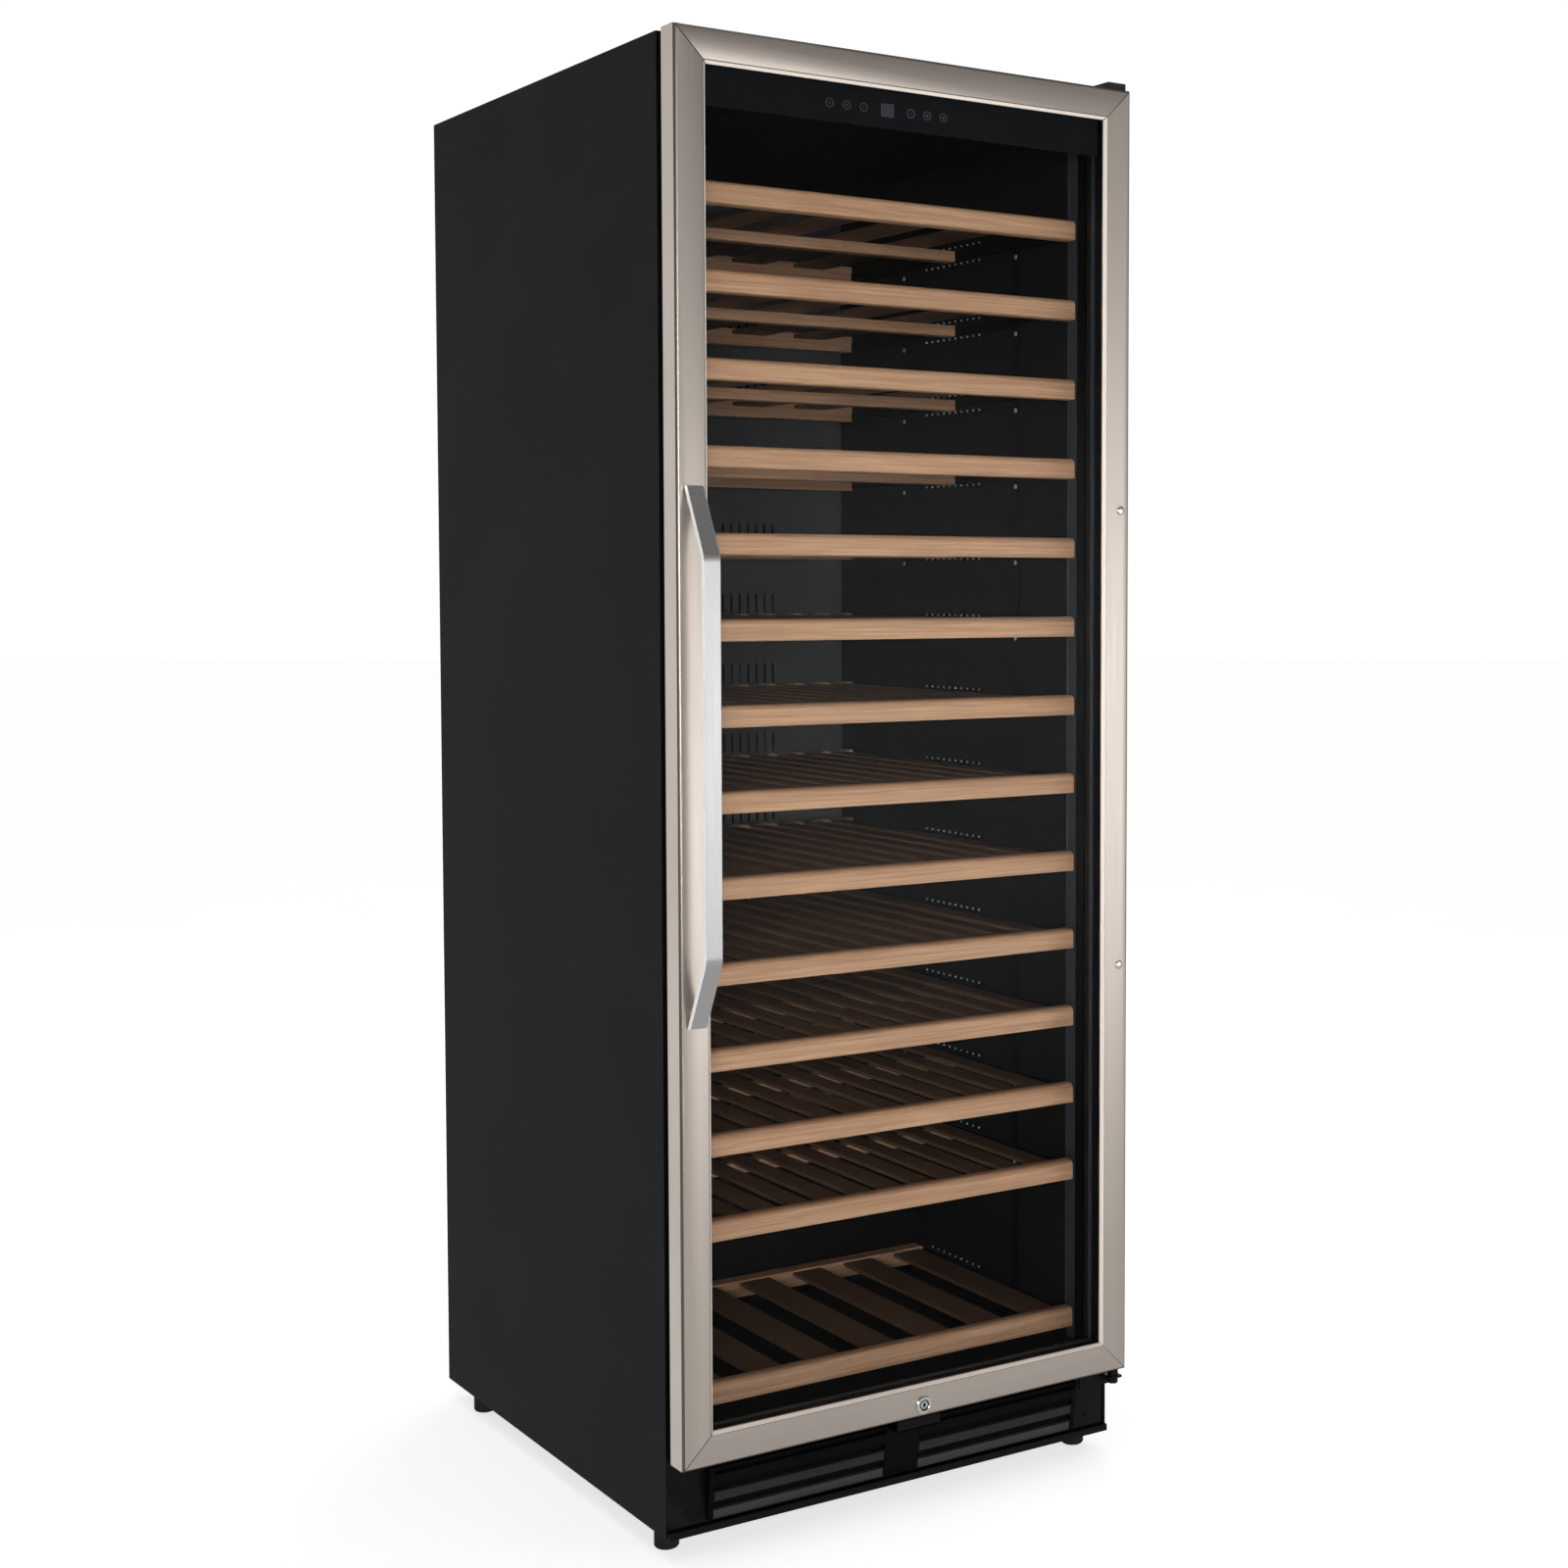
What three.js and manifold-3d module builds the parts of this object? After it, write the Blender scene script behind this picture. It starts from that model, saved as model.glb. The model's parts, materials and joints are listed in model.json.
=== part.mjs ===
// Freestanding glass-door wine cooler, in millimetres.
// X runs across the front (hinge side positive), Y runs from the door towards the back, +Z is up.
// While the pieces are made, y = 0 is the front face of the door frame and z = 0 is the floor.
// The finished group is moved so that its origin is the middle of its footprint.

import * as THREE from "three";
import { mergeVertices } from "three/addons/utils/BufferGeometryUtils.js";
import Module from "manifold-3d";

const wasm = await Module();
wasm.setup();

// Driving dimensions
const WIDTH = 595;
const CASE_FRONT = 42;
const CASE_BACK = 680;
const CASE_TOP = 1645;
const FOOT_HEIGHT = 25;
const GAP = 0.3;
const SHEET = 1.2;

const DOOR_BOTTOM = 112;
const DOOR_TOP = 1646;
const DOOR_DEPTH = 30.2;
const FRAME_FACE = 34;
const FRAME_BEVEL = 4;
const FRAME_LIP = 6;
const FRAME_WALL = 4;
const GLASS = 4;
const GLASS_INSET = 22;
const GASKET_BACK = 41.5;

const HANDLE_STANDOFF = 45;
const HANDLE_MIDDLE = 880;
const HANDLE_LENGTH = 575;
const HANDLE_STRAIGHT = 427;
const HANDLE_WIDTH = 20;
const HANDLE_THICKNESS = 6;
const HANDLE_X = -279.5;
const FIXING_SPACING = 544;

const HINGE_X = 288;
const HINGE_Y = 14;
const PIN_RADIUS = 3.5;
const PIN_HOLE = 4;
const PLUG_INSET = 13;
const LOCK_X = 7;
const LOCK_Z = 126;
const CAM_REACH = 22;

const OPENING_HALF = 262;
const OPENING_BOTTOM = 140;
const OPENING_TOP = 1603;
const CAVITY_FRONT = 58;
const CAVITY_HALF = 266;
const CAVITY_BACK = 626;
const CAVITY_FLOOR = 136;
const CAVITY_CEILING = 1600;
const LINER = 1.5;
const STEP_FRONT = 421;
const STEP_TOP = 334;
const DUCT_FRONT = 600;
const DUCT_HALF = 252;
const MACHINE_FRONT = 455;
const MACHINE_TOP = 302;
const FOAM_BOTTOM = 110;
const VENT_X = 106;
const COLD_FAN_Z = 1480;
const WARM_FAN_Y = 578;
const WARM_FAN_Z = 115;
const GLAND_X = 235;
const GLAND_Z = 60;

const SHELF_TOP = 1487;
const SHELF_PITCH = 94.7;
const FULL_SHELVES = 13;
const LOW_SHELF = 168;
const RAIL_HEIGHT = 24;
const RAIL_DEPTH = 20;
const RAIL_HALF = 259;
const SLAT_THICKNESS = 9;
const FULL_SHELF_BACK = 592;
const LOW_SHELF_BACK = 412;
const SLIDE_FRONT = 82;

const KICK_TOP = 96;
const KICK_HALF = 249;
const FOOT_X = 277;
const FOOT_FRONT_Y = 83;
const FOOT_BACK_Y = 608;

const ROUND = 24;

const finishes = {
  blackSheet: [0x242427, 0.42, 0.1],
  galvanised: [0x8d9092, 0.45, 0.7],
  stainless: [0xb9afa5, 0.32, 0.95],
  aluminium: [0xd9d8d8, 0.3, 0.95],
  chrome: [0xd8dadb, 0.12, 1],
  tintedGlass: [0x20242a, 0.04, 0],
  clearGlass: [0xaab4b2, 0.04, 0],
  darkPlastic: [0x2a2d31, 0.5, 0],
  blackPlastic: [0x121213, 0.35, 0],
  liner: [0x2b2b2d, 0.5, 0],
  rubber: [0x0d0d0e, 0.8, 0],
  foam: [0xe2d39a, 0.9, 0],
  beech: [0xbf8763, 0.55, 0],
  copper: [0xa86445, 0.35, 0.9],
  lamp: [0xe9eef2, 0.3, 0],
};

const product = new THREE.Group();

// Adds one named piece. Its material is its own copy of the finish.
function piece(name, geometry, finish) {
  const [color, roughness, metalness] = finishes[finish];
  const material = new THREE.MeshStandardMaterial({ color, roughness, metalness });
  const mesh = new THREE.Mesh(geometry, material);
  mesh.name = name;
  product.add(mesh);
}

// A box between two corners.
function box(x, y, z) {
  const shape = new THREE.BoxGeometry(x[1] - x[0], y[1] - y[0], z[1] - z[0]);
  return shape.translate((x[0] + x[1]) / 2, (y[0] + y[1]) / 2, (z[0] + z[1]) / 2);
}

// A cylinder whose axis runs along "x", "y" or "z" from one value to another through the point (a, b),
// given in the order of the two other axes.
function rod(axis, from, to, a, b, radius, sides = ROUND) {
  const shape = new THREE.CylinderGeometry(radius, radius, to - from, sides);
  const middle = (from + to) / 2;
  if (axis === "x") return shape.rotateZ(Math.PI / 2).translate(middle, a, b);
  if (axis === "y") return shape.translate(a, middle, b);
  return shape.rotateX(Math.PI / 2).translate(a, b, middle);
}

// A closed outline carried straight along X (outline in Y, Z) between two X values.
function alongX(points, from, to) {
  const axes = new THREE.Matrix4().makeBasis(
    new THREE.Vector3(0, 1, 0),
    new THREE.Vector3(0, 0, 1),
    new THREE.Vector3(1, 0, 0),
  );
  const settings = { depth: to - from, bevelEnabled: false };
  const shape = new THREE.ExtrudeGeometry(new THREE.Shape(points), settings);
  return shape.applyMatrix4(axes).translate(from, 0, 0);
}

// A closed outline carried straight along Z (outline in X, Y) between two Z values.
function alongZ(points, from, to) {
  const settings = { depth: to - from, bevelEnabled: false };
  return new THREE.ExtrudeGeometry(new THREE.Shape(points), settings).translate(0, 0, from);
}

// A profile of radius and height turned about the Z axis through (x, y).
function turned(profile, x, y, sides = ROUND) {
  const points = profile.map(([radius, height]) => new THREE.Vector2(radius, height));
  return new THREE.LatheGeometry(points, sides).rotateX(Math.PI / 2).translate(x, y, 0);
}

const outline = (pairs) => pairs.map(([a, b]) => new THREE.Vector2(a, b));

// The outline with the corner at each [a, b, radius] entry replaced by an arc of that radius.
function rounded(corners, steps = 5) {
  const result = [];
  corners.forEach(([a, b, radius = 0], index) => {
    const corner = new THREE.Vector2(a, b);
    if (radius === 0) {
      result.push(corner);
      return;
    }
    const before = new THREE.Vector2(...corners.at(index - 1));
    const after = new THREE.Vector2(...corners[(index + 1) % corners.length]);
    const toBefore = before.sub(corner).normalize();
    const toAfter = after.sub(corner).normalize();
    const half = Math.acos(toBefore.dot(toAfter)) / 2;
    const centre = toBefore.clone().add(toAfter).normalize().multiplyScalar(radius / Math.sin(half));
    centre.add(corner);
    const reach = radius / Math.tan(half);
    const start = corner.clone().addScaledVector(toBefore, reach).sub(centre);
    const turn = -Math.sign(start.cross(toBefore)) * (Math.PI - 2 * half);
    for (let step = 0; step <= steps; step += 1) {
      const angle = (turn * step) / steps;
      result.push(start.clone().rotateAround(new THREE.Vector2(), angle).add(centre));
    }
  });
  return result;
}

function toSolid(geometry) {
  const bare = geometry.clone();
  bare.deleteAttribute("normal");
  bare.deleteAttribute("uv");
  const merged = mergeVertices(bare, 1e-3);
  return new wasm.Manifold(
    new wasm.Mesh({
      numProp: 3,
      vertProperties: merged.attributes.position.array,
      triVerts: new Uint32Array(merged.index.array),
    }),
  );
}

function toGeometry(solid) {
  const mesh = solid.getMesh();
  const geometry = new THREE.BufferGeometry();
  geometry.setAttribute("position", new THREE.BufferAttribute(mesh.vertProperties, 3));
  geometry.setIndex(new THREE.BufferAttribute(mesh.triVerts, 1));
  return geometry;
}

const join = (...parts) => toGeometry(parts.map(toSolid).reduce((a, b) => a.add(b)));

const cut = (base, ...tools) =>
  toGeometry(tools.map(toSolid).reduce((a, b) => a.subtract(b), toSolid(base)));

const common = (a, b) => toGeometry(toSolid(a).intersect(toSolid(b)));

// A flat rectangular ring in the plane of the front: outer and inner half widths, and heights.
function ring(outerHalf, innerHalf, y, outerZ, innerZ) {
  const through = [y[0] - 1, y[1] + 1];
  return cut(
    box([-outerHalf, outerHalf], y, outerZ),
    box([-innerHalf, innerHalf], through, innerZ),
  );
}

// A ring set in from the door's outer edge by two distances.
function doorRing(outer, inner, y) {
  return ring(
    WIDTH / 2 - outer,
    WIDTH / 2 - inner,
    y,
    [DOOR_BOTTOM + outer, DOOR_TOP - outer],
    [DOOR_BOTTOM + inner, DOOR_TOP - inner],
  );
}

// Outer shell: folded sheet sides, top and back, and a louvred cover over the machine space.
function makeShell() {
  const side = [CASE_FRONT, CASE_BACK];
  const inner = WIDTH / 2 - SHEET;
  piece("left_side_panel", box([-WIDTH / 2, -inner], side, [FOOT_HEIGHT, CASE_TOP]), "blackSheet");
  piece("right_side_panel", box([inner, WIDTH / 2], side, [FOOT_HEIGHT, CASE_TOP]), "blackSheet");
  const between = [-inner + GAP, inner - GAP];
  const top = [CASE_TOP - SHEET, CASE_TOP];
  piece("top_panel", box(between, side, top), "blackSheet");
  const back = [CASE_BACK - SHEET, CASE_BACK];
  piece("back_panel", box(between, back, [MACHINE_TOP, CASE_TOP - SHEET - GAP]), "galvanised");
  const louvres = [];
  for (let row = 0; row < 6; row += 1) {
    for (const x of [-170, 0, 170]) {
      const z = 80 + row * 34;
      louvres.push(box([x - 60, x + 60], [back[0] - 1, back[1] + 1], [z, z + 7]));
    }
  }
  const cable = rod("y", back[0] - 1, back[1] + 1, GLAND_X, GLAND_Z, 8.5);
  const cover = box(between, back, [FOOT_HEIGHT + 5, MACHINE_TOP - GAP]);
  piece("rear_grille", cut(cover, ...louvres, cable), "blackSheet");
}

// Base pan with an upstand at the front; the feet screw up through it.
function makeBase() {
  const inner = WIDTH / 2 - SHEET - GAP;
  const profile = outline([
    [36, FOOT_HEIGHT],
    [CASE_BACK - SHEET - GAP, FOOT_HEIGHT],
    [CASE_BACK - SHEET - GAP, FOOT_HEIGHT + 2],
    [48, FOOT_HEIGHT + 2],
    [48, FOAM_BOTTOM - GAP],
    [46, FOAM_BOTTOM - GAP],
    [46, FOOT_HEIGHT + 8],
    [36, FOOT_HEIGHT + 8],
  ]);
  const holes = [];
  for (const x of [-FOOT_X, FOOT_X]) {
    for (const y of [FOOT_FRONT_Y, FOOT_BACK_Y]) {
      holes.push(rod("z", FOOT_HEIGHT - 1, FOOT_HEIGHT + 3, x, y, 5.5));
    }
  }
  const airWindow = box([-230, 230], [45, 49], [42, 92]);
  piece("base_pan", cut(alongX(profile, -inner, inner), airWindow, ...holes), "blackSheet");
}

// Levelling feet: a ribbed pad on a threaded stud.
function makeFeet() {
  const profile = [
    [0, 0],
    [12, 0],
    [14, 2.5],
    [14, 17],
    [12.5, FOOT_HEIGHT - GAP],
    [5, FOOT_HEIGHT - GAP],
    [5, FOOT_HEIGHT + 20],
    [0, FOOT_HEIGHT + 20],
  ];
  const sides = { left: -FOOT_X, right: FOOT_X };
  const ends = { front: FOOT_FRONT_Y, back: FOOT_BACK_Y };
  for (const [side, x] of Object.entries(sides)) {
    for (const [end, y] of Object.entries(ends)) {
      piece(`foot_${end}_${side}`, turned(profile, x, y, 16), "rubber");
    }
  }
}

// Front flange of the case, foam between shell and liner, and the liner's own walls.
function makeInsulation() {
  const inner = WIDTH / 2 - SHEET - GAP;
  const top = CASE_TOP - SHEET - GAP;
  const flange = ring(
    inner,
    OPENING_HALF,
    [CASE_FRONT + 0.5, CAVITY_FRONT],
    [FOAM_BOTTOM, top],
    [OPENING_BOTTOM, OPENING_TOP],
  );
  piece("front_flange", flange, "darkPlastic");

  const half = CAVITY_HALF + LINER + GAP;
  const back = CAVITY_BACK + LINER + GAP;
  const floor = CAVITY_FLOOR - LINER - GAP;
  const ceiling = CAVITY_CEILING + LINER + GAP;
  const cavity = outline([
    [0, floor],
    [STEP_FRONT + LINER + GAP, floor],
    [STEP_FRONT + LINER + GAP, STEP_TOP - LINER - GAP],
    [back, STEP_TOP - LINER - GAP],
    [back, ceiling],
    [0, ceiling],
  ]);
  const body = box(
    [-inner, inner],
    [CAVITY_FRONT + GAP, CASE_BACK - SHEET - GAP],
    [FOAM_BOTTOM, top],
  );
  const machineSpace = box([-WIDTH, WIDTH], [MACHINE_FRONT, CASE_BACK + 10], [0, MACHINE_TOP]);
  piece("insulation_foam", cut(body, alongX(cavity, -half, half), machineSpace), "foam");
}

function makeLiner() {
  const front = CAVITY_FRONT + GAP;
  const back = CAVITY_BACK;
  const sideWall = outline([
    [front, CAVITY_FLOOR - LINER],
    [STEP_FRONT + LINER, CAVITY_FLOOR - LINER],
    [STEP_FRONT + LINER, STEP_TOP - LINER],
    [back, STEP_TOP - LINER],
    [back, CAVITY_CEILING + LINER],
    [front, CAVITY_CEILING + LINER],
  ]);
  const wall = CAVITY_HALF;
  piece("liner_left_wall", alongX(sideWall, -wall - LINER, -wall), "liner");
  piece("liner_right_wall", alongX(sideWall, wall, wall + LINER), "liner");
  const across = wall - GAP;
  const ceiling = [CAVITY_CEILING, CAVITY_CEILING + LINER];
  piece("liner_ceiling", box([-across, across], [front, back], ceiling), "liner");
  const rearZ = [STEP_TOP + GAP, CAVITY_CEILING + LINER];
  piece("liner_rear_wall", box([-across, across], [back + GAP, back + LINER], rearZ), "liner");
  const steppedFloor = outline([
    [front, CAVITY_FLOOR - LINER],
    [STEP_FRONT + LINER, CAVITY_FLOOR - LINER],
    [STEP_FRONT + LINER, STEP_TOP - LINER],
    [back, STEP_TOP - LINER],
    [back, STEP_TOP],
    [STEP_FRONT, STEP_TOP],
    [STEP_FRONT, CAVITY_FLOOR],
    [front, CAVITY_FLOOR],
  ]);
  piece("liner_floor", alongX(steppedFloor, -across, across), "liner");
}

// Height of each full shelf's rail, from the top down.
const shelfHeights = Array.from({ length: FULL_SHELVES }, (_, i) => SHELF_TOP - i * SHELF_PITCH);

// Cold side: duct cover with a pair of vents above each shelf, evaporator plate and fan behind it.
function makeColdSide() {
  const y = [DUCT_FRONT, DUCT_FRONT + 2];
  const vents = [];
  for (const z of shelfHeights.slice(1)) {
    for (const x of [-VENT_X, VENT_X]) {
      vents.push(box([x - 40, x + 40], [y[0] - 1, y[1] + 1], [z + 11, z + 37]));
    }
  }
  const cover = box([-DUCT_HALF, DUCT_HALF], y, [STEP_TOP + GAP, CAVITY_CEILING - GAP]);
  piece("air_duct_cover", cut(cover, ...vents), "liner");

  piece("evaporator", box([-200, 200], [CAVITY_BACK - 5, CAVITY_BACK - 1], [700, 1180]), "aluminium");
  piece("circulation_fan", fan("y", [DUCT_FRONT + 5, DUCT_FRONT + 17], 0, COLD_FAN_Z, 55), "blackPlastic");
}

// A five-blade axial fan: a hub with flat blades set at an angle to its axis.
function fan(axis, span, a, b, radius) {
  const hub = rod("z", span[0], span[1], 0, 0, radius * 0.32, 16);
  const depth = span[1] - span[0];
  const blades = [];
  for (let blade = 0; blade < 5; blade += 1) {
    const length = radius * 0.76;
    const vane = new THREE.BoxGeometry(length, radius * 0.42, 1.6);
    vane.rotateX(0.42).translate(length / 2 + radius * 0.22, 0, (span[0] + span[1]) / 2);
    blades.push(vane.rotateZ((blade * Math.PI * 2) / 5));
  }
  const limits = rod("z", span[0] + depth * 0.02, span[1] - depth * 0.02, 0, 0, radius, ROUND);
  const swept = common(join(...blades, hub), limits);
  const wheel = join(hub, swept);
  if (axis === "y") return wheel.rotateX(-Math.PI / 2).rotateY(Math.PI).translate(a, 0, b);
  return wheel.rotateY(Math.PI / 2).translate(0, a, b);
}

// Warm side: compressor, finned condenser and its fan, and the cable gland in the rear cover.
function makeWarmSide() {
  const floor = FOOT_HEIGHT + 2 + GAP;
  const can = [
    [0, floor + 12],
    [58, floor + 12],
    [62, floor + 22],
    [62, floor + 130],
    [50, floor + 156],
    [26, floor + 166],
    [0, floor + 168],
  ];
  const mount = box([0, 160], [520, 640], [floor, floor + 14]);
  piece("compressor", join(turned(can, 80, 580, 20), mount), "blackSheet");

  const fins = [[500, floor + 4]];
  const pitch = 8;
  for (let y = 500; y < 652; y += pitch) {
    fins.push([y, 200], [y + 3, 200], [y + 3, floor + 12], [y + pitch, floor + 12]);
  }
  fins.push([652, 200], [655, 200], [655, floor + 4]);
  piece("condenser", alongX(outline(fins.slice(1).concat([fins[0]])), -260, -160), "copper");
  piece("condenser_fan", fan("x", [-140, -122], WARM_FAN_Y, WARM_FAN_Z, 62), "blackPlastic");

  const nose = rod("y", CASE_BACK - 16, CASE_BACK - SHEET - 2, GLAND_X, GLAND_Z, 12);
  const gland = join(nose, rod("y", CASE_BACK - SHEET - 3, CASE_BACK, GLAND_X, GLAND_Z, 8, 18));
  piece("cable_gland", gland, "blackPlastic");
}

// LED strip under the ceiling, just behind the opening.
function makeLamp() {
  const z = [CAVITY_CEILING - 6, CAVITY_CEILING - GAP];
  piece("light_bar", box([-150, 150], [72, 90], z), "lamp");
}

// Fixed halves of the drawer slides: a channel for each shelf on one upright, on each wall.
function makeSlideRacks() {
  const inner = RAIL_HALF + 2;
  const outer = CAVITY_HALF - GAP;
  const channels = (x) => {
    const parts = shelfHeights.map((z) => box(x, [SLIDE_FRONT, 520], [z - 9, z + 3]));
    parts.push(box(x, [SLIDE_FRONT, 396], [LOW_SHELF - 9, LOW_SHELF + 3]));
    return parts;
  };
  const upright = (x) => box(x, [184, 198], [LOW_SHELF - 20, SHELF_TOP + 20]);
  const left = [-outer, -inner - 0.7];
  const right = [inner + 0.7, outer];
  piece("left_slide_rack", join(upright(left), ...channels(left)), "galvanised");
  piece("right_slide_rack", join(upright(right), ...channels(right)), "galvanised");
}

// One wooden shelf: rounded front rail, slats front to back into the rear rail, a middle rail close
// under the slats, and the moving slides that tie the three rails together.
function shelf(z, back, middleRail, slatCount, slatWidth, slatPitch) {
  const front = CAVITY_FRONT;
  const low = z - RAIL_HEIGHT / 2;
  const high = z + RAIL_HEIGHT / 2;
  const rail = rounded([
    [front, low, 2],
    [front + RAIL_DEPTH, low],
    [front + RAIL_DEPTH, high, 6],
    [front, high, 7],
  ]);
  const parts = [alongX(rail, -RAIL_HALF, RAIL_HALF)];
  const deckTop = high - 4;
  const deckLow = deckTop - SLAT_THICKNESS;
  for (let slat = 0; slat < slatCount; slat += 1) {
    const x = (slat - (slatCount - 1) / 2) * slatPitch;
    const width = [x - slatWidth / 2, x + slatWidth / 2];
    parts.push(box(width, [front + RAIL_DEPTH - 1, back - RAIL_DEPTH + 1], [deckLow, deckTop]));
  }
  const across = [-RAIL_HALF + 6, RAIL_HALF - 6];
  parts.push(box(across, [middleRail, middleRail + RAIL_DEPTH], [low + 1, deckLow - GAP]));
  parts.push(box(across, [back - RAIL_DEPTH, back], [low + 1, deckTop]));
  for (const side of [-1, 1]) {
    const x = [side * (RAIL_HALF - 1), side * (RAIL_HALF - 7)].sort((a, b) => a - b);
    parts.push(box(x, [front + RAIL_DEPTH - 1, back - 5], [z - 8, z + 2]));
  }
  return join(...parts);
}

function makeShelves() {
  shelfHeights.forEach((z, index) => {
    const wide = index < 5;
    const [count, width, pitch] = wide ? [5, 48, 93] : [12, 27, 42];
    const name = `shelf_${String(index + 1).padStart(2, "0")}`;
    piece(name, shelf(z, FULL_SHELF_BACK, 311, count, width, pitch), "beech");
  });
  piece("shelf_14", shelf(LOW_SHELF, LOW_SHELF_BACK, 225, 7, 42, 76), "beech");
}

// Kick plate: a leaning louvred panel with a smooth middle block and the keeper for the lock's cam.
function makeKickPlate() {
  const bottom = FOOT_HEIGHT + 8 + GAP;
  const panel = outline([
    [42, bottom],
    [45.7, bottom],
    [45.7, KICK_TOP],
    [33, KICK_TOP],
    [33, KICK_TOP - 8],
  ]);
  const gaps = [];
  for (const z of [46.5, 68, 88]) {
    for (const side of [-1, 1]) {
      const x = [side * 22, side * (KICK_HALF - 6)].sort((a, b) => a - b);
      const height = z === 88 ? 5 : 9;
      gaps.push(box(x, [30, 48], [z, z + height]));
    }
  }
  const keeperFloor = box([-22, 36], [10, 40], [KICK_TOP - 1, KICK_TOP + 1.5]);
  const keeperWall = box([-22, 36], [10, 13], [KICK_TOP - 1, KICK_TOP + 12]);
  const body = join(alongX(panel, -KICK_HALF, KICK_HALF), keeperFloor, keeperWall);
  piece("kick_plate", cut(body, ...gaps), "blackPlastic");
}

// Hinge brackets screwed to the case, each with a pin that stands in the door frame.
function makeHinges() {
  const topPlate = box([266, 296], [8, 104], [DOOR_TOP + 0.6, DOOR_TOP + 4]);
  const topCap = box([270, 296], [8, 74], [DOOR_TOP + 3, DOOR_TOP + 9]);
  const topPad = box([268, 294], [46, 102], [CASE_TOP + GAP, DOOR_TOP + 1]);
  const topPin = rod("z", DOOR_TOP - 12, DOOR_TOP + 2, HINGE_X, HINGE_Y, PIN_RADIUS, 16);
  piece("top_hinge_bracket", join(topPlate, topCap, topPad, topPin), "blackSheet");

  const plate = box([246, 296], [24, 45.7], [DOOR_BOTTOM - 12, DOOR_BOTTOM - 9]);
  const tongue = box([278, 296], [6, 25], [DOOR_BOTTOM - 12, DOOR_BOTTOM - 9]);
  const lip = box([246, 292], [24, 27], [DOOR_BOTTOM - 23, DOOR_BOTTOM - 9]);
  const pin = rod("z", DOOR_BOTTOM - 11, DOOR_BOTTOM + 12, HINGE_X, HINGE_Y, PIN_RADIUS, 16);
  const washer = rod("z", DOOR_BOTTOM - 10, DOOR_BOTTOM - 0.6, HINGE_X, HINGE_Y, 6.5, 16);
  const nut = rod("z", DOOR_BOTTOM - 19, DOOR_BOTTOM - 11, HINGE_X, HINGE_Y, 6.5, 6);
  piece("bottom_hinge_bracket", join(plate, tongue, lip, pin, washer, nut), "blackSheet");
}

// Door frame: four mitred members of one angle section, u measured in from the door's outer edge.
function frameSection() {
  const face = FRAME_FACE + FRAME_BEVEL;
  return [
    [0, 0, 4],
    [FRAME_FACE, 0],
    [face, FRAME_BEVEL],
    [face, FRAME_LIP],
    [FRAME_WALL, FRAME_LIP],
    [FRAME_WALL, DOOR_DEPTH],
    [0, DOOR_DEPTH],
  ];
}

// The member on one edge of a rectangle, as a bar cut off at both ends by the 45 degree mitre planes.
// Half is half the length of that edge; the bar is made along X with its outer edge at z = 0.
function mitredBar(half) {
  const section = rounded(frameSection()).map((p) => new THREE.Vector2(p.y, p.x));
  const bar = alongX(section, -half, half);
  const depth = 60;
  const wedge = outline([
    [-half + GAP / 2, 0],
    [half - GAP / 2, 0],
    [half - depth, depth],
    [-half + depth, depth],
  ]);
  const keep = alongZ(wedge, -1, DOOR_DEPTH + 1).rotateX(Math.PI / 2).translate(0, DOOR_DEPTH, 0);
  return common(bar, keep);
}

function makeDoorFrame() {
  const half = WIDTH / 2;
  const middle = (DOOR_BOTTOM + DOOR_TOP) / 2;
  const halfHeight = (DOOR_TOP - DOOR_BOTTOM) / 2;
  const topPin = rod("z", DOOR_TOP - 20, DOOR_TOP + 5, HINGE_X, HINGE_Y, PIN_HOLE, 16);
  const bottomPin = rod("z", DOOR_BOTTOM - 5, DOOR_BOTTOM + 20, HINGE_X, HINGE_Y, PIN_HOLE, 16);

  const bottom = mitredBar(half).translate(0, 0, DOOR_BOTTOM);
  const lockBore = rod("y", -1, FRAME_LIP + 1, LOCK_X, LOCK_Z, 6.3);
  const camSlot = box([LOCK_X - 6, LOCK_X + CAM_REACH + 1], [15, 24], [DOOR_BOTTOM - 1, DOOR_BOTTOM + 5]);
  piece("door_frame_bottom", cut(bottom, bottomPin, lockBore, camSlot), "stainless");

  const top = mitredBar(half).rotateY(Math.PI).translate(0, 0, DOOR_TOP);
  piece("door_frame_top", cut(top, topPin), "stainless");

  const left = mitredBar(halfHeight).rotateY(Math.PI / 2).translate(-half, 0, middle);
  piece("door_frame_left", left, "stainless");

  const right = mitredBar(halfHeight).rotateY(-Math.PI / 2).translate(half, 0, middle);
  const plugs = [-1, 1].map((side) => {
    const z = HANDLE_MIDDLE + (side * FIXING_SPACING) / 2;
    return rod("y", -1, FRAME_LIP + 1, half - PLUG_INSET, z, 3.3, 16);
  });
  piece("door_frame_right", cut(right, topPin, bottomPin, ...plugs), "stainless");
}

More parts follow.
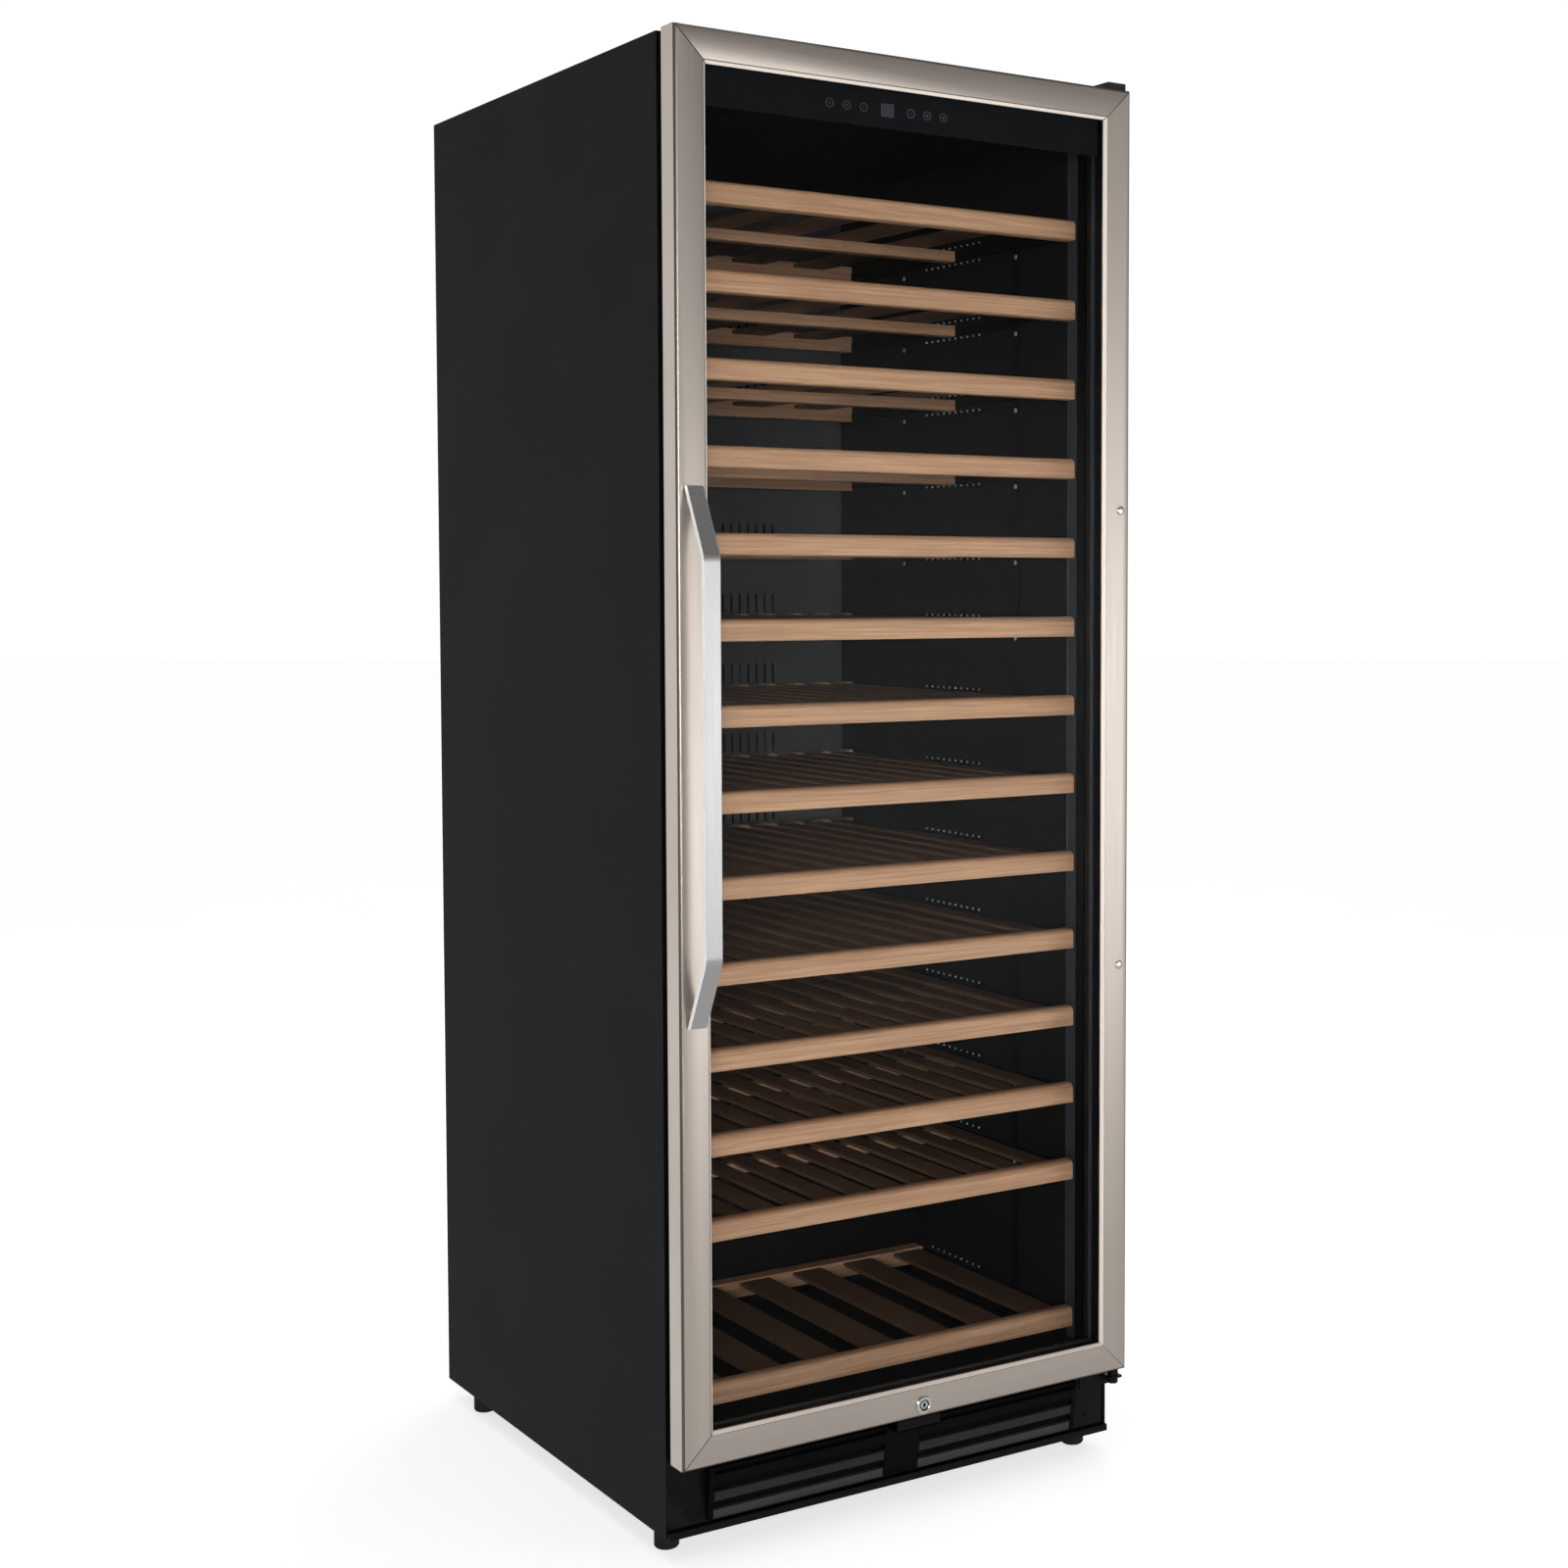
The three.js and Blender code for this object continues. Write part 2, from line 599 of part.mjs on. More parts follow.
function makeGlazing() {
  const half = WIDTH / 2 - GLASS_INSET;
  const z = [DOOR_BOTTOM + GLASS_INSET, DOOR_TOP - GLASS_INSET];
  const outer = [FRAME_LIP + GAP, FRAME_LIP + GAP + GLASS];
  const inner = [22, 22 + GLASS];
  piece("outer_glass", box([-half, half], outer, z), "tintedGlass");
  piece("inner_glass", box([-half, half], inner, z), "clearGlass");
  piece("glass_spacer", doorRing(26, 36, [outer[1] + GAP, inner[0] - GAP]), "darkPlastic");
  piece("inner_door_frame", doorRing(FRAME_WALL + GAP, 36, [inner[1] + GAP, DOOR_DEPTH]), "darkPlastic");
  piece("door_gasket", doorRing(5, 34, [DOOR_DEPTH + GAP, GASKET_BACK]), "rubber");
  const board = box([-257, 257], [outer[1] + GAP, outer[1] + 5], [DOOR_TOP - 79, DOOR_TOP - 37]);
  piece("control_panel", board, "darkPlastic");
}

// Bow handle: a flat bar bent forward at both ends, standing on two short posts.
function makeHandle() {
  const post = 0.7;
  const end = HANDLE_LENGTH / 2;
  const bend = HANDLE_STRAIGHT / 2;
  const slope = Math.atan2(HANDLE_STANDOFF - 7.5, end - bend);
  const across = HANDLE_THICKNESS / Math.cos(slope);
  const shift = HANDLE_THICKNESS * Math.tan(slope / 2);
  const z = (value) => HANDLE_MIDDLE + value;
  const bar = rounded([
    [-post - across, z(-end)],
    [-post, z(-end)],
    [-HANDLE_STANDOFF + HANDLE_THICKNESS, z(-bend + shift), 24],
    [-HANDLE_STANDOFF + HANDLE_THICKNESS, z(bend - shift), 24],
    [-post, z(end)],
    [-post - across, z(end)],
    [-HANDLE_STANDOFF, z(bend), 30],
    [-HANDLE_STANDOFF, z(-bend), 30],
  ]);
  const x = [HANDLE_X - HANDLE_WIDTH / 2, HANDLE_X + HANDLE_WIDTH / 2];
  const posts = [-1, 1].map((side) => {
    const height = HANDLE_MIDDLE + (side * FIXING_SPACING) / 2;
    return rod("y", -12, -GAP, HANDLE_X, height, 5, 16);
  });
  piece("handle", join(alongX(bar, ...x), ...posts), "aluminium");
}

// Domed caps over the unused handle holes on the hinge side.
function makePlugs() {
  const names = { upper: 1, lower: -1 };
  for (const [name, side] of Object.entries(names)) {
    const z = HANDLE_MIDDLE + (side * FIXING_SPACING) / 2;
    const cap = [
      [0, -4],
      [3, -4],
      [3, GAP],
      [5.5, GAP],
      [4.6, 1.4],
      [0, 2],
    ];
    const shape = turned(cap, 0, 0, 16).rotateX(Math.PI / 2).translate(WIDTH / 2 - PLUG_INSET, 0, z);
    piece(`${name}_hole_plug`, shape, "chrome");
  }
}

// Cam lock: a ring on the bottom member and a barrel whose cam swings down behind the keeper.
function makeLock() {
  const face = [-2.5, -GAP];
  const collar = cut(
    rod("y", face[0], face[1], LOCK_X, LOCK_Z, 10.5, 32),
    rod("y", -4, 1, LOCK_X, LOCK_Z, 6.1, 32),
  );
  piece("lock_ring", collar, "chrome");
  const barrel = rod("y", -1.8, 18, LOCK_X, LOCK_Z, 5.7);
  const cam = box([LOCK_X - 4, LOCK_X + CAM_REACH], [17, 20], [LOCK_Z - 4, LOCK_Z + 4]);
  piece("lock_barrel", join(barrel, cam), "chrome");
}

makeShell();
makeBase();
makeFeet();
makeInsulation();
makeLiner();
makeColdSide();
makeWarmSide();
makeLamp();
makeSlideRacks();
makeShelves();
makeKickPlate();
makeHinges();
makeDoorFrame();
makeGlazing();
makeHandle();
makePlugs();
makeLock();

product.position.y = -(CASE_BACK - HANDLE_STANDOFF) / 2;

export default product;
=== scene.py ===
"""Tall wine cooler with a framed glass door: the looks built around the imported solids.

Shapes are worked out in millimetres in the object's own frame and become metres when a mesh is made.
X runs across the front towards the hinges, Y from the door to the back, and Z is up.
"""

import json
import math

import bmesh
import bpy
import numpy as np
from bpy.props import FloatProperty, FloatVectorProperty, IntProperty, PointerProperty
from mathutils import Matrix, Vector

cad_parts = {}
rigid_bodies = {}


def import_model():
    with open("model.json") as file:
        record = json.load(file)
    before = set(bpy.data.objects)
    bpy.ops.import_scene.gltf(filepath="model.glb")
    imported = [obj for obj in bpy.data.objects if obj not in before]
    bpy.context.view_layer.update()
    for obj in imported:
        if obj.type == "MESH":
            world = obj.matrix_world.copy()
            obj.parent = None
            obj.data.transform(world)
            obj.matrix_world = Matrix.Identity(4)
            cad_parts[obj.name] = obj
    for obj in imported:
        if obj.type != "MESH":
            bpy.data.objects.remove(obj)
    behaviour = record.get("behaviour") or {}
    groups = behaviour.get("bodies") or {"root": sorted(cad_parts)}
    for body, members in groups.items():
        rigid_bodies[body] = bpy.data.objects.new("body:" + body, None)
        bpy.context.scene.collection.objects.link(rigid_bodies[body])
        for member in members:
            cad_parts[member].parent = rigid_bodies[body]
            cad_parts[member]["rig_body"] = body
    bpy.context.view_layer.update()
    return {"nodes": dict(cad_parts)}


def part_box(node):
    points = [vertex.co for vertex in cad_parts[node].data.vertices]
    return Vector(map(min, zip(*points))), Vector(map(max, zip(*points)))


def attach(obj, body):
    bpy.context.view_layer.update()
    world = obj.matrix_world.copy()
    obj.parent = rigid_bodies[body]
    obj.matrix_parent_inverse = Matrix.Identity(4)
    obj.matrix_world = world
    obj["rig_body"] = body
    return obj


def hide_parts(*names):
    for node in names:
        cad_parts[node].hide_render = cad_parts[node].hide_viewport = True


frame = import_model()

bl_info = {
    "name": "Wine cooler",
    "version": (1, 0, 0),
    "blender": (4, 5, 0),
    "location": "3D View > Sidebar > Wine cooler",
    "description": "Builds a tall glass-door wine cooler on its packed frame",
    "category": "Object",
}

MM = 0.001
SHELVES = [f"shelf_{number:02d}" for number in range(1, 15)]
WIDE_SLAT_SHELVES = 5
FRONT_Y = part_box("door_frame_bottom")[0].y / MM


# ---------------------------------------------------------------- shapes


def node_box(node):
    """Lowest and highest corner of a CAD node, in millimetres."""
    low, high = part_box(node)
    return np.array(low) / MM, np.array(high) / MM


def node_middle(node):
    """Middle of a CAD node's box, in millimetres."""
    low, high = node_box(node)
    return (low + high) / 2


def outward(points, faces):
    """A shell with its faces pointing out: all are turned round if the signed volume, a sixth of the sum of
    a . (b x c) over the triangles of each face's fan, is negative."""
    volume = 0.0
    for size in {len(face) for face in faces}:
        group = np.array([face for face in faces if len(face) == size])
        first = points[group[:, 0]]
        for corner in range(1, size - 1):
            cross = np.cross(points[group[:, corner]], points[group[:, corner + 1]])
            volume += float((first * cross).sum())
    if volume < 0:
        faces = [face[::-1] for face in faces]
    return points, faces


def grid_faces(rows, columns, close_rows, close_columns):
    """Quads of a grid of rows by columns, which may join its last row or column to its first."""
    row = np.arange(rows if close_rows else rows - 1)
    column = np.arange(columns if close_columns else columns - 1)
    a, b = np.meshgrid(row, column, indexing="ij")
    after_a, after_b = (a + 1) % rows, (b + 1) % columns
    corners = [a * columns + b, a * columns + after_b, after_a * columns + after_b, after_a * columns + b]
    return np.stack(corners, -1).reshape(-1, 4).tolist()


def tube(rings):
    """A closed shell through a stack of rings: ring to ring by quads, with one face across each end."""
    count, size = rings.shape[:2]
    faces = grid_faces(count, size, False, True)
    faces += [list(range(size))[::-1], list(range((count - 1) * size, count * size))]
    return outward(rings.reshape(-1, 3), faces)


def hoop(rings):
    """A closed shell through rings that come back to the first one."""
    return outward(rings.reshape(-1, 3), grid_faces(*rings.shape[:2], True, True))


def around(profile, centre, axis, sides, ribs=0, rib_depth=0.0):
    """Rings of a turned form: at height h and angle t the point is r(h) (cos t, sin t), where r is the
    profile's radius less rib_depth times (1 - cos(ribs t)) / 2 where the profile's third value is 1."""
    profile = np.array([(*row, 0)[:3] for row in profile], float)
    angle = np.linspace(0, 2 * np.pi, sides, endpoint=False)
    groove = rib_depth * (1 - np.cos(ribs * angle)) / 2
    radius = profile[:, :1] - profile[:, 2:3] * groove[None]
    rings = np.zeros((len(profile), sides, 3))
    first, second = [index for index in range(3) if index != axis]
    rings[..., first] = radius * np.cos(angle)
    rings[..., second] = radius * np.sin(angle)
    rings[..., axis] = profile[:, 1:2]
    return rings + np.array(centre, float)


def turned(profile, centre, axis=2, sides=32, **ribs):
    """A closed turned form about an axis through centre."""
    return tube(around(profile, centre, axis, sides, **ribs))


def rounded_rectangle(half_a, half_b, radius, steps):
    """Outline of a rectangle whose corners are quarter circles: corner centre plus radius (cos t, sin t)."""
    turn = np.linspace(0, np.pi / 2, steps + 1)
    parts = []
    for quarter, (sign_a, sign_b) in enumerate([(1, 1), (-1, 1), (-1, -1), (1, -1)]):
        angle = turn + quarter * np.pi / 2
        corner = np.array([sign_a * (half_a - radius), sign_b * (half_b - radius)])
        parts.append(corner + radius * np.stack([np.cos(angle), np.sin(angle)], -1))
    return np.concatenate(parts)


def bar(low, high, radius=0.6, axis=1, steps=1):
    """A bar with eased edges: a rounded rectangle carried along one axis, drawn in at both ends by
    radius (1 - sin t) at distance radius (1 - cos t) from the end."""
    low, high = np.minimum(low, high).astype(float), np.maximum(low, high).astype(float)
    half, middle = (high - low) / 2, (high + low) / 2
    first, second = [index for index in range(3) if index != axis]
    turn = np.radians(np.linspace(10, 90, steps + 1))
    inset = np.concatenate([1 - np.sin(turn), (1 - np.sin(turn))[::-1]]) * radius
    near = radius * (1 - np.cos(turn))
    place = np.concatenate([low[axis] + near, (high[axis] - near)[::-1]])
    rings = []
    for draw, at in zip(inset, place):
        outline = rounded_rectangle(half[first] - draw, half[second] - draw, radius - draw, steps)
        ring = np.zeros((len(outline), 3))
        ring[:, first] = middle[first] + outline[:, 0]
        ring[:, second] = middle[second] + outline[:, 1]
        ring[:, axis] = at
        rings.append(ring)
    return tube(np.array(rings))


def extruded(outline, start, end, axis, planes):
    """An outline in two axes carried straight along the third from start to end."""
    outline = np.array(outline, float)
    rings = np.zeros((2, len(outline), 3))
    rings[..., planes[0]] = outline[:, 0]
    rings[..., planes[1]] = outline[:, 1]
    rings[0, :, axis], rings[1, :, axis] = start, end
    return tube(rings)


def joined(*shells):
    """Several shells as one list of points and faces."""
    points, faces, offset = [], [], 0
    for shell_points, shell_faces in shells:
        points.append(shell_points)
        faces += [[index + offset for index in face] for face in shell_faces]
        offset += len(shell_points)
    return np.concatenate(points), faces


def repeated(shell, offsets):
    """The same shell at each of several offsets."""
    return joined(*[(shell[0] + np.array(offset, float), shell[1]) for offset in offsets])


def fillet(before, corner, after, radius, steps):
    """An arc of that radius tangent to both sides of a corner: centre plus the turned start arm."""
    to_before = (before - corner) / np.linalg.norm(before - corner)
    to_after = (after - corner) / np.linalg.norm(after - corner)
    half = math.acos(float(np.dot(to_before, to_after))) / 2
    bisector = to_before + to_after
    centre = corner + bisector / np.linalg.norm(bisector) * radius / math.sin(half)
    start = corner + to_before * radius / math.tan(half) - centre
    end = corner + to_after * radius / math.tan(half) - centre
    share = np.linspace(0, 1, steps + 1)[:, None]
    sweep = math.pi - 2 * half
    return centre + (np.sin((1 - share) * sweep) * start + np.sin(share * sweep) * end) / math.sin(sweep)


def soft_step(value, width):
    """0 below -width, 1 above width, and the cubic 3t^2 - 2t^3 between."""
    t = np.clip((value + width) / (2 * width), 0, 1)
    return t * t * (3 - 2 * t)


# ---------------------------------------------------------------- finishes


def add_node(tree, kind, values=None, **settings):
    """A node with some attributes set; each input named in values is linked if given a socket, else set."""
    made = tree.nodes.new(kind)
    for name, value in settings.items():
        setattr(made, name, value)
    for socket, value in (values or {}).items():
        if isinstance(value, bpy.types.NodeSocket):
            tree.links.new(value, made.inputs[socket])
        else:
            made.inputs[socket].default_value = value
    return made


class Finish:
    """A node material: a Principled surface fed by patterns on object coordinates."""

    def __init__(self, name, roughness, metallic=0.0, specular=0.5):
        self.material = bpy.data.materials.new(name)
        self.material.use_nodes = True
        self.tree = self.material.node_tree
        self.surface = self.tree.nodes["Principled BSDF"]
        self.surface.inputs["Roughness"].default_value = roughness
        self.surface.inputs["Metallic"].default_value = metallic
        self.surface.inputs["Specular IOR Level"].default_value = specular
        self.place = add_node(self.tree, "ShaderNodeTexCoord").outputs["Object"]

    def pattern(self, kind, per_metre, **values):
        """A pattern node on object coordinates scaled by a rate per metre along each axis."""
        rates = np.broadcast_to(per_metre, 3).tolist()
        scaled = add_node(self.tree, "ShaderNodeMapping", {"Vector": self.place, "Scale": rates})
        return add_node(self.tree, kind, {"Vector": scaled.outputs["Vector"], "Scale": 1.0, **values})

    def noise(self, per_metre, detail=3.0, rough=0.55, bend=0.0):
        """Noise from 0 to 1."""
        values = {"Detail": detail, "Roughness": rough, "Distortion": bend}
        return self.pattern("ShaderNodeTexNoise", per_metre, **values).outputs["Fac"]

    def between(self, value, low, high, start=0.3, end=0.7):
        """A number that goes from low to high as the value goes from start to end."""
        limits = {"Value": value, "From Min": start, "From Max": end, "To Min": low, "To Max": high}
        return add_node(self.tree, "ShaderNodeMapRange", limits).outputs["Result"]

    def blend(self, value, low, high, start=0.3, end=0.7):
        """A colour that goes from low to high as the value goes from start to end."""
        made = add_node(self.tree, "ShaderNodeValToRGB", {"Fac": value})
        for stop, place, color in zip(made.color_ramp.elements, (start, end), (low, high)):
            stop.position = place
            stop.color = (*color, 1)
        return made.outputs["Color"]

    def over(self, base, top, value):
        """One colour laid over another by a share."""
        return add_node(self.tree, "ShaderNodeMix", {0: value, 6: base, 7: top}, data_type="RGBA").outputs[2]

    def relief(self, height, depth):
        """Fine relief of a depth in millimetres."""
        values = {"Strength": 1.0, "Distance": depth * MM, "Height": height}
        self.set("Normal", add_node(self.tree, "ShaderNodeBump", values).outputs["Normal"])

    def set(self, socket, value):
        """Feeds one of the surface's inputs."""
        self.tree.links.new(value, self.surface.inputs[socket])


def shade(color, amount):
    """A colour made lighter or darker by a factor."""
    return tuple(min(1.0, channel * amount) for channel in color)


def textured(name, color, roughness, grain=900, depth=0.05, spread=0.12, specular=0.5, metallic=0.0):
    """Paint, plastic or rubber: broad mottling of the colour and a fine pebbled relief."""
    made = Finish(name, roughness, metallic, specular)
    made.set("Base Color", made.blend(made.noise(6, 4), shade(color, 1 - spread), shade(color, 1 + spread)))
    fine = made.noise(grain, 2)
    made.set("Roughness", made.between(fine, roughness - 0.05, roughness + 0.06))
    made.relief(fine, depth)
    return made.material


def brushed(name, color, roughness, along, across=1500.0):
    """Brushed metal: noise drawn out along the brushing, over slow changes of tone."""
    rate = np.full(3, across)
    rate[along] = 9.0
    made = Finish(name, roughness, 1.0)
    lines = made.noise(rate, 4, 0.7)
    slow = made.noise(5, 2)
    streaks = made.blend(lines, shade(color, 0.93), shade(color, 1.06))
    tone = made.blend(slow, shade(color, 0.95), shade(color, 1.04))
    made.set("Base Color", made.over(streaks, tone, made.between(slow, 0.25, 0.55)))
    made.set("Roughness", made.between(lines, roughness - 0.06, roughness + 0.08))
    made.relief(lines, 0.006)
    return made.material


def polished(name, color, roughness):
    """Polished metal with faint wear in its gloss."""
    made = Finish(name, roughness, 1.0)
    wear = made.noise(60, 5)
    made.set("Base Color", made.blend(wear, shade(color, 0.96), shade(color, 1.03)))
    made.set("Roughness", made.between(wear, roughness * 0.7, roughness * 1.6))
    made.relief(made.noise(500, 2), 0.004)
    return made.material


def spangled(name, color, roughness):
    """Zinc-coated sheet: flat crystals of differing tone and gloss."""
    made = Finish(name, roughness, 0.85)
    crystal = made.pattern("ShaderNodeTexVoronoi", 85).outputs["Color"]
    tone = add_node(made.tree, "ShaderNodeRGBToBW", {"Color": crystal}).outputs["Val"]
    made.set("Base Color", made.blend(tone, shade(color, 0.93), shade(color, 1.05), 0.2, 0.8))
    made.set("Roughness", made.between(tone, roughness - 0.03, roughness + 0.04, 0.2, 0.8))
    made.relief(made.noise(420, 3), 0.01)
    return made.material


def wood(name, light, dark, along):
    """Beech: slow bands and fine fibres drawn out along the grain, with short dark flecks."""
    fibre, band, fleck = np.full(3, 380.0), np.full(3, 60.0), np.full(3, 420.0)
    fibre[along], band[along], fleck[along] = 7.0, 2.6, 60.0
    made = Finish(name, 0.5)
    bands = made.noise(band, 4, 0.6, 0.8)
    fibres = made.noise(fibre, 4, 0.7)
    flecks = made.noise(fleck, 1)
    base = made.blend(bands, dark, light, 0.32, 0.68)
    threads = made.blend(fibres, shade(dark, 0.72), shade(light, 1.12), 0.36, 0.62)
    grain = made.over(base, threads, made.between(fibres, 0.45, 0.7))
    pores = made.blend(flecks, shade(dark, 0.55), shade(dark, 0.6))
    made.set("Base Color", made.over(grain, pores, made.between(flecks, 0, 0.55, 0.68, 0.76)))
    made.set("Roughness", made.between(fibres, 0.42, 0.58))
    made.relief(fibres, 0.03)
    return made.material


def pane(name, tint, gloss):
    """Sheet glass that doesn't bend what is seen through it: a tinted clear shader under a thin mirror that
    grows towards grazing angles, with a faint smear in its roughness."""
    made = bpy.data.materials.new(name)
    made.use_nodes = True
    tree = made.node_tree
    tree.nodes.clear()
    place = add_node(tree, "ShaderNodeTexCoord").outputs["Object"]
    smear = add_node(tree, "ShaderNodeTexNoise", {"Scale": 7, "Detail": 4, "Vector": place})
    limits = {"To Min": 0.01, "To Max": 0.05, "Value": smear.outputs["Fac"]}
    rough = add_node(tree, "ShaderNodeMapRange", limits)
    clear = add_node(tree, "ShaderNodeBsdfTransparent", {"Color": (*tint, 1)})
    shine = {"Color": (1, 1, 1, 1), "Roughness": rough.outputs["Result"]}
    mirror = add_node(tree, "ShaderNodeBsdfGlossy", shine)
    facing = add_node(tree, "ShaderNodeLayerWeight", {"Blend": 0.5}).outputs["Facing"]
    limits = {"From Min": 0.35, "From Max": 1.0, "To Min": gloss, "To Max": 0.7, "Value": facing}
    share = add_node(tree, "ShaderNodeMapRange", limits, interpolation_type="SMOOTHERSTEP")
    layers = {"Fac": share.outputs["Result"], 1: clear.outputs["BSDF"], 2: mirror.outputs["BSDF"]}
    mix = add_node(tree, "ShaderNodeMixShader", layers)
    add_node(tree, "ShaderNodeOutputMaterial", {"Surface": mix.outputs["Shader"]})
    return made


def recipes():
    """Maker and details of every finish. Details of a textured one: colour, roughness, grain per metre,
    relief in millimetres, spread of tone, specular level and metal share."""
    scene = bpy.context.scene
    case, door, shelf = scene.cooler_case, scene.cooler_door, scene.cooler_shelf
    steel, black = door.steel, (0.004, 0.004, 0.0045)
    across, deep, up = 0, 1, 2
    return {
        "case_paint": (textured, case.paint, case.gloss, 1100, 0.03, 0.1, 0.03),
        "black_steel": (textured, black, 0.45, 900, 0.03, 0.12, 0.12),
        "zinc_sheet": (spangled, (0.42, 0.43, 0.44), 0.45),
        "steel_across": (brushed, steel, door.steel_roughness, across),
        "steel_upright": (brushed, steel, door.steel_roughness, up),
        # Frame steel at three tenths: painted dark reflection on the frame's bevels and outward front slopes.
        "steel_edge": (brushed, shade(steel, 0.3), 0.3, up, 900),
        # A lighter, less metallic frame steel: painted light on the outer sides of the stiles.
        "steel_side": (textured, shade(steel, 1.22), 0.38, 900, 0.01, 0.05, 0.5, 0.45),
        # Frame steel made half as light again and less metallic: painted highlight on the inward front
        # slopes.
        "steel_bright": (textured, shade(steel, 1.5), 0.35, 900, 0.01, 0.04, 0.5, 0.3),
        "handle_face": (brushed, door.handle_color, 0.3, up),
        # Near white and barely metallic: painted highlight on the handle's flanks and posts.
        "handle_edge": (textured, (0.95, 0.95, 0.94), 0.2, 900, 0.005, 0.03, 0.5, 0.2),
        "bright_metal": (polished, (0.78, 0.78, 0.78), 0.14),
        "dark_trim": (textured, door.trim, 0.5, 1200, 0.02, 0.12, 0.1),
        # The trim's colour made fourteen times lighter: painted light on the inner door frame and the liner's
        # edge strips.
        "inner_trim": (textured, shade(door.trim, 14), 0.42, 1200, 0.02),
        "pale_nylon": (textured, (0.75, 0.75, 0.74), 0.4, 900, 0.01),
        "black_plastic": (textured, black, 0.4, 700, 0.03, 0.12, 0.2),
        # Lighter blacks for the kick plate's raised bands: painted highlight, the lower band brightest.
        "louvre_plastic": (textured, (0.042, 0.038, 0.036), 0.4, 700, 0.03, 0.12, 0.3),
        "louvre_shade": (textured, (0.019, 0.017, 0.0165), 0.4, 700, 0.03, 0.12, 0.2),
        "matt_black": (textured, (0.003, 0.003, 0.0032), 0.6, 700, 0.03, 0.12, 0.05),
        # Blacker and matter than the plate: painted shade in the kick plate's slots and behind the duct's
        # slits.
        "slot_dark": (textured, (0.002, 0.002, 0.002), 0.8, 500, 0.02, 0.12, 0.1),
        "liner_plastic": (textured, case.liner, 0.45, 600, 0.06),
        # The liner's own colour at a seventh: painted shade on the side walls, ceiling and floor.
        "liner_side": (textured, shade(case.liner, 0.14), 0.5, 600, 0.06, 0.12, 0.15),
        "rubber": (textured, (0.009, 0.009, 0.01), 0.65, 500, 0.06),
        "gasket_rubber": (textured, (0.005, 0.005, 0.006), 0.6, 500, 0.04),
        "foam": (textured, (0.72, 0.6, 0.3), 0.9, 350, 0.4, 0.15),
        "beech_across": (wood, shelf.light, shelf.dark, across),
        # The slats' beech at about a third of its own tones: painted shade of slats lying under the shelf
        # above.
        "beech_deep": (wood, shade(shelf.light, 0.32), shade(shelf.dark, 0.3), deep),
        "copper": (brushed, (0.62, 0.27, 0.16), 0.38, across, 900),
        "fin_metal": (brushed, (0.66, 0.67, 0.68), 0.38, up, 900),
        "lamp_cover": (textured, (0.75, 0.78, 0.8), 0.35, 400, 0.02),
        "print_grey": (textured, (0.09, 0.093, 0.105), 0.5, 900, 0.01),
        "display_dark": (textured, (0.03, 0.033, 0.038), 0.25, 900, 0.01),
        "tinted_pane": (pane, door.tint, door.glass_gloss),
        "clear_pane": (pane, (0.985, 0.99, 0.987), 0.001),
    }


def finish(name):
    """One of the cooler's materials, made the first time it is asked for."""
    found = bpy.data.materials.get(name)
    if found:
        return found
    maker, *details = recipes()[name]
    return maker(name, *details)


# ---------------------------------------------------------------- pieces


def finish_mesh(name, mesh, finishes, body, replaces, sharp):
    """Links a mesh as a named piece that rides on a body and takes its finish from a slot."""
    for each in finishes:
        mesh.materials.append(finish(each))
    mesh.polygons.foreach_set("use_smooth", np.ones(len(mesh.polygons), bool))
    mesh.set_sharp_from_angle(angle=math.radians(sharp))
    mesh.update()
    made = bpy.data.objects.new(name, mesh)
    bpy.context.scene.collection.objects.link(made)
    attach(made, body)
    if replaces:
        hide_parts(*replaces)
    return made


def piece(name, parts, finishes, body, replaces=(), sharp=35):
    """A new piece from pairs of a shell and the number of its finish, or one number for each of its faces."""
    points, faces = joined(*[shell for shell, _ in parts])
    numbers = np.concatenate([np.full(len(shell[1]), number) for shell, number in parts])
    mesh = bpy.data.meshes.new(name)
    mesh.from_pydata((points * MM).tolist(), [], faces)
    mesh.polygons.foreach_set("material_index", numbers.astype(np.int32))
    return finish_mesh(name, mesh, finishes, body, replaces, sharp)


def refined(node, name, finishes, edge):
    """A merged copy of a CAD node with flat faces made whole and its edges eased by a bevel, which takes the
    second finish where there is one."""
    shape = bmesh.new()
    shape.from_mesh(frame["nodes"][node].data)
    bmesh.ops.remove_doubles(shape, verts=shape.verts, dist=0.00001)
    bmesh.ops.dissolve_limit(shape, angle_limit=math.radians(1), verts=shape.verts, edges=shape.edges)
    mesh = bpy.data.meshes.new(name)
    shape.to_mesh(mesh)
    shape.free()
    made = finish_mesh(name, mesh, finishes, frame["nodes"][node]["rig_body"], (node,), 30)
    bevel = made.modifiers.new("Eased edges", "BEVEL")
    bevel.width = edge * MM
    bevel.segments = 2
    bevel.limit_method = "ANGLE"
    bevel.angle_limit = math.radians(40)
    bevel.use_clamp_overlap = True
    bevel.harden_normals = True
    bevel.material = 1 if len(finishes) > 1 else -1
    return made


def dress(name, *nodes):
    """Gives CAD nodes whose shape is right a better material."""
    for node in nodes:
        frame["nodes"][node].material_slots[0].material = finish(name)


# ---------------------------------------------------------------- settings


def color_setting(name, description, *default):
    """A colour setting."""
    return FloatVectorProperty(name=name, description=description, subtype="COLOR", size=3, default=default)


def number_setting(name, description, default, unit="NONE"):
    """A setting of one number, in metres, watts or radians where it has a unit."""
    return FloatProperty(name=name, description=description, unit=unit, default=default)


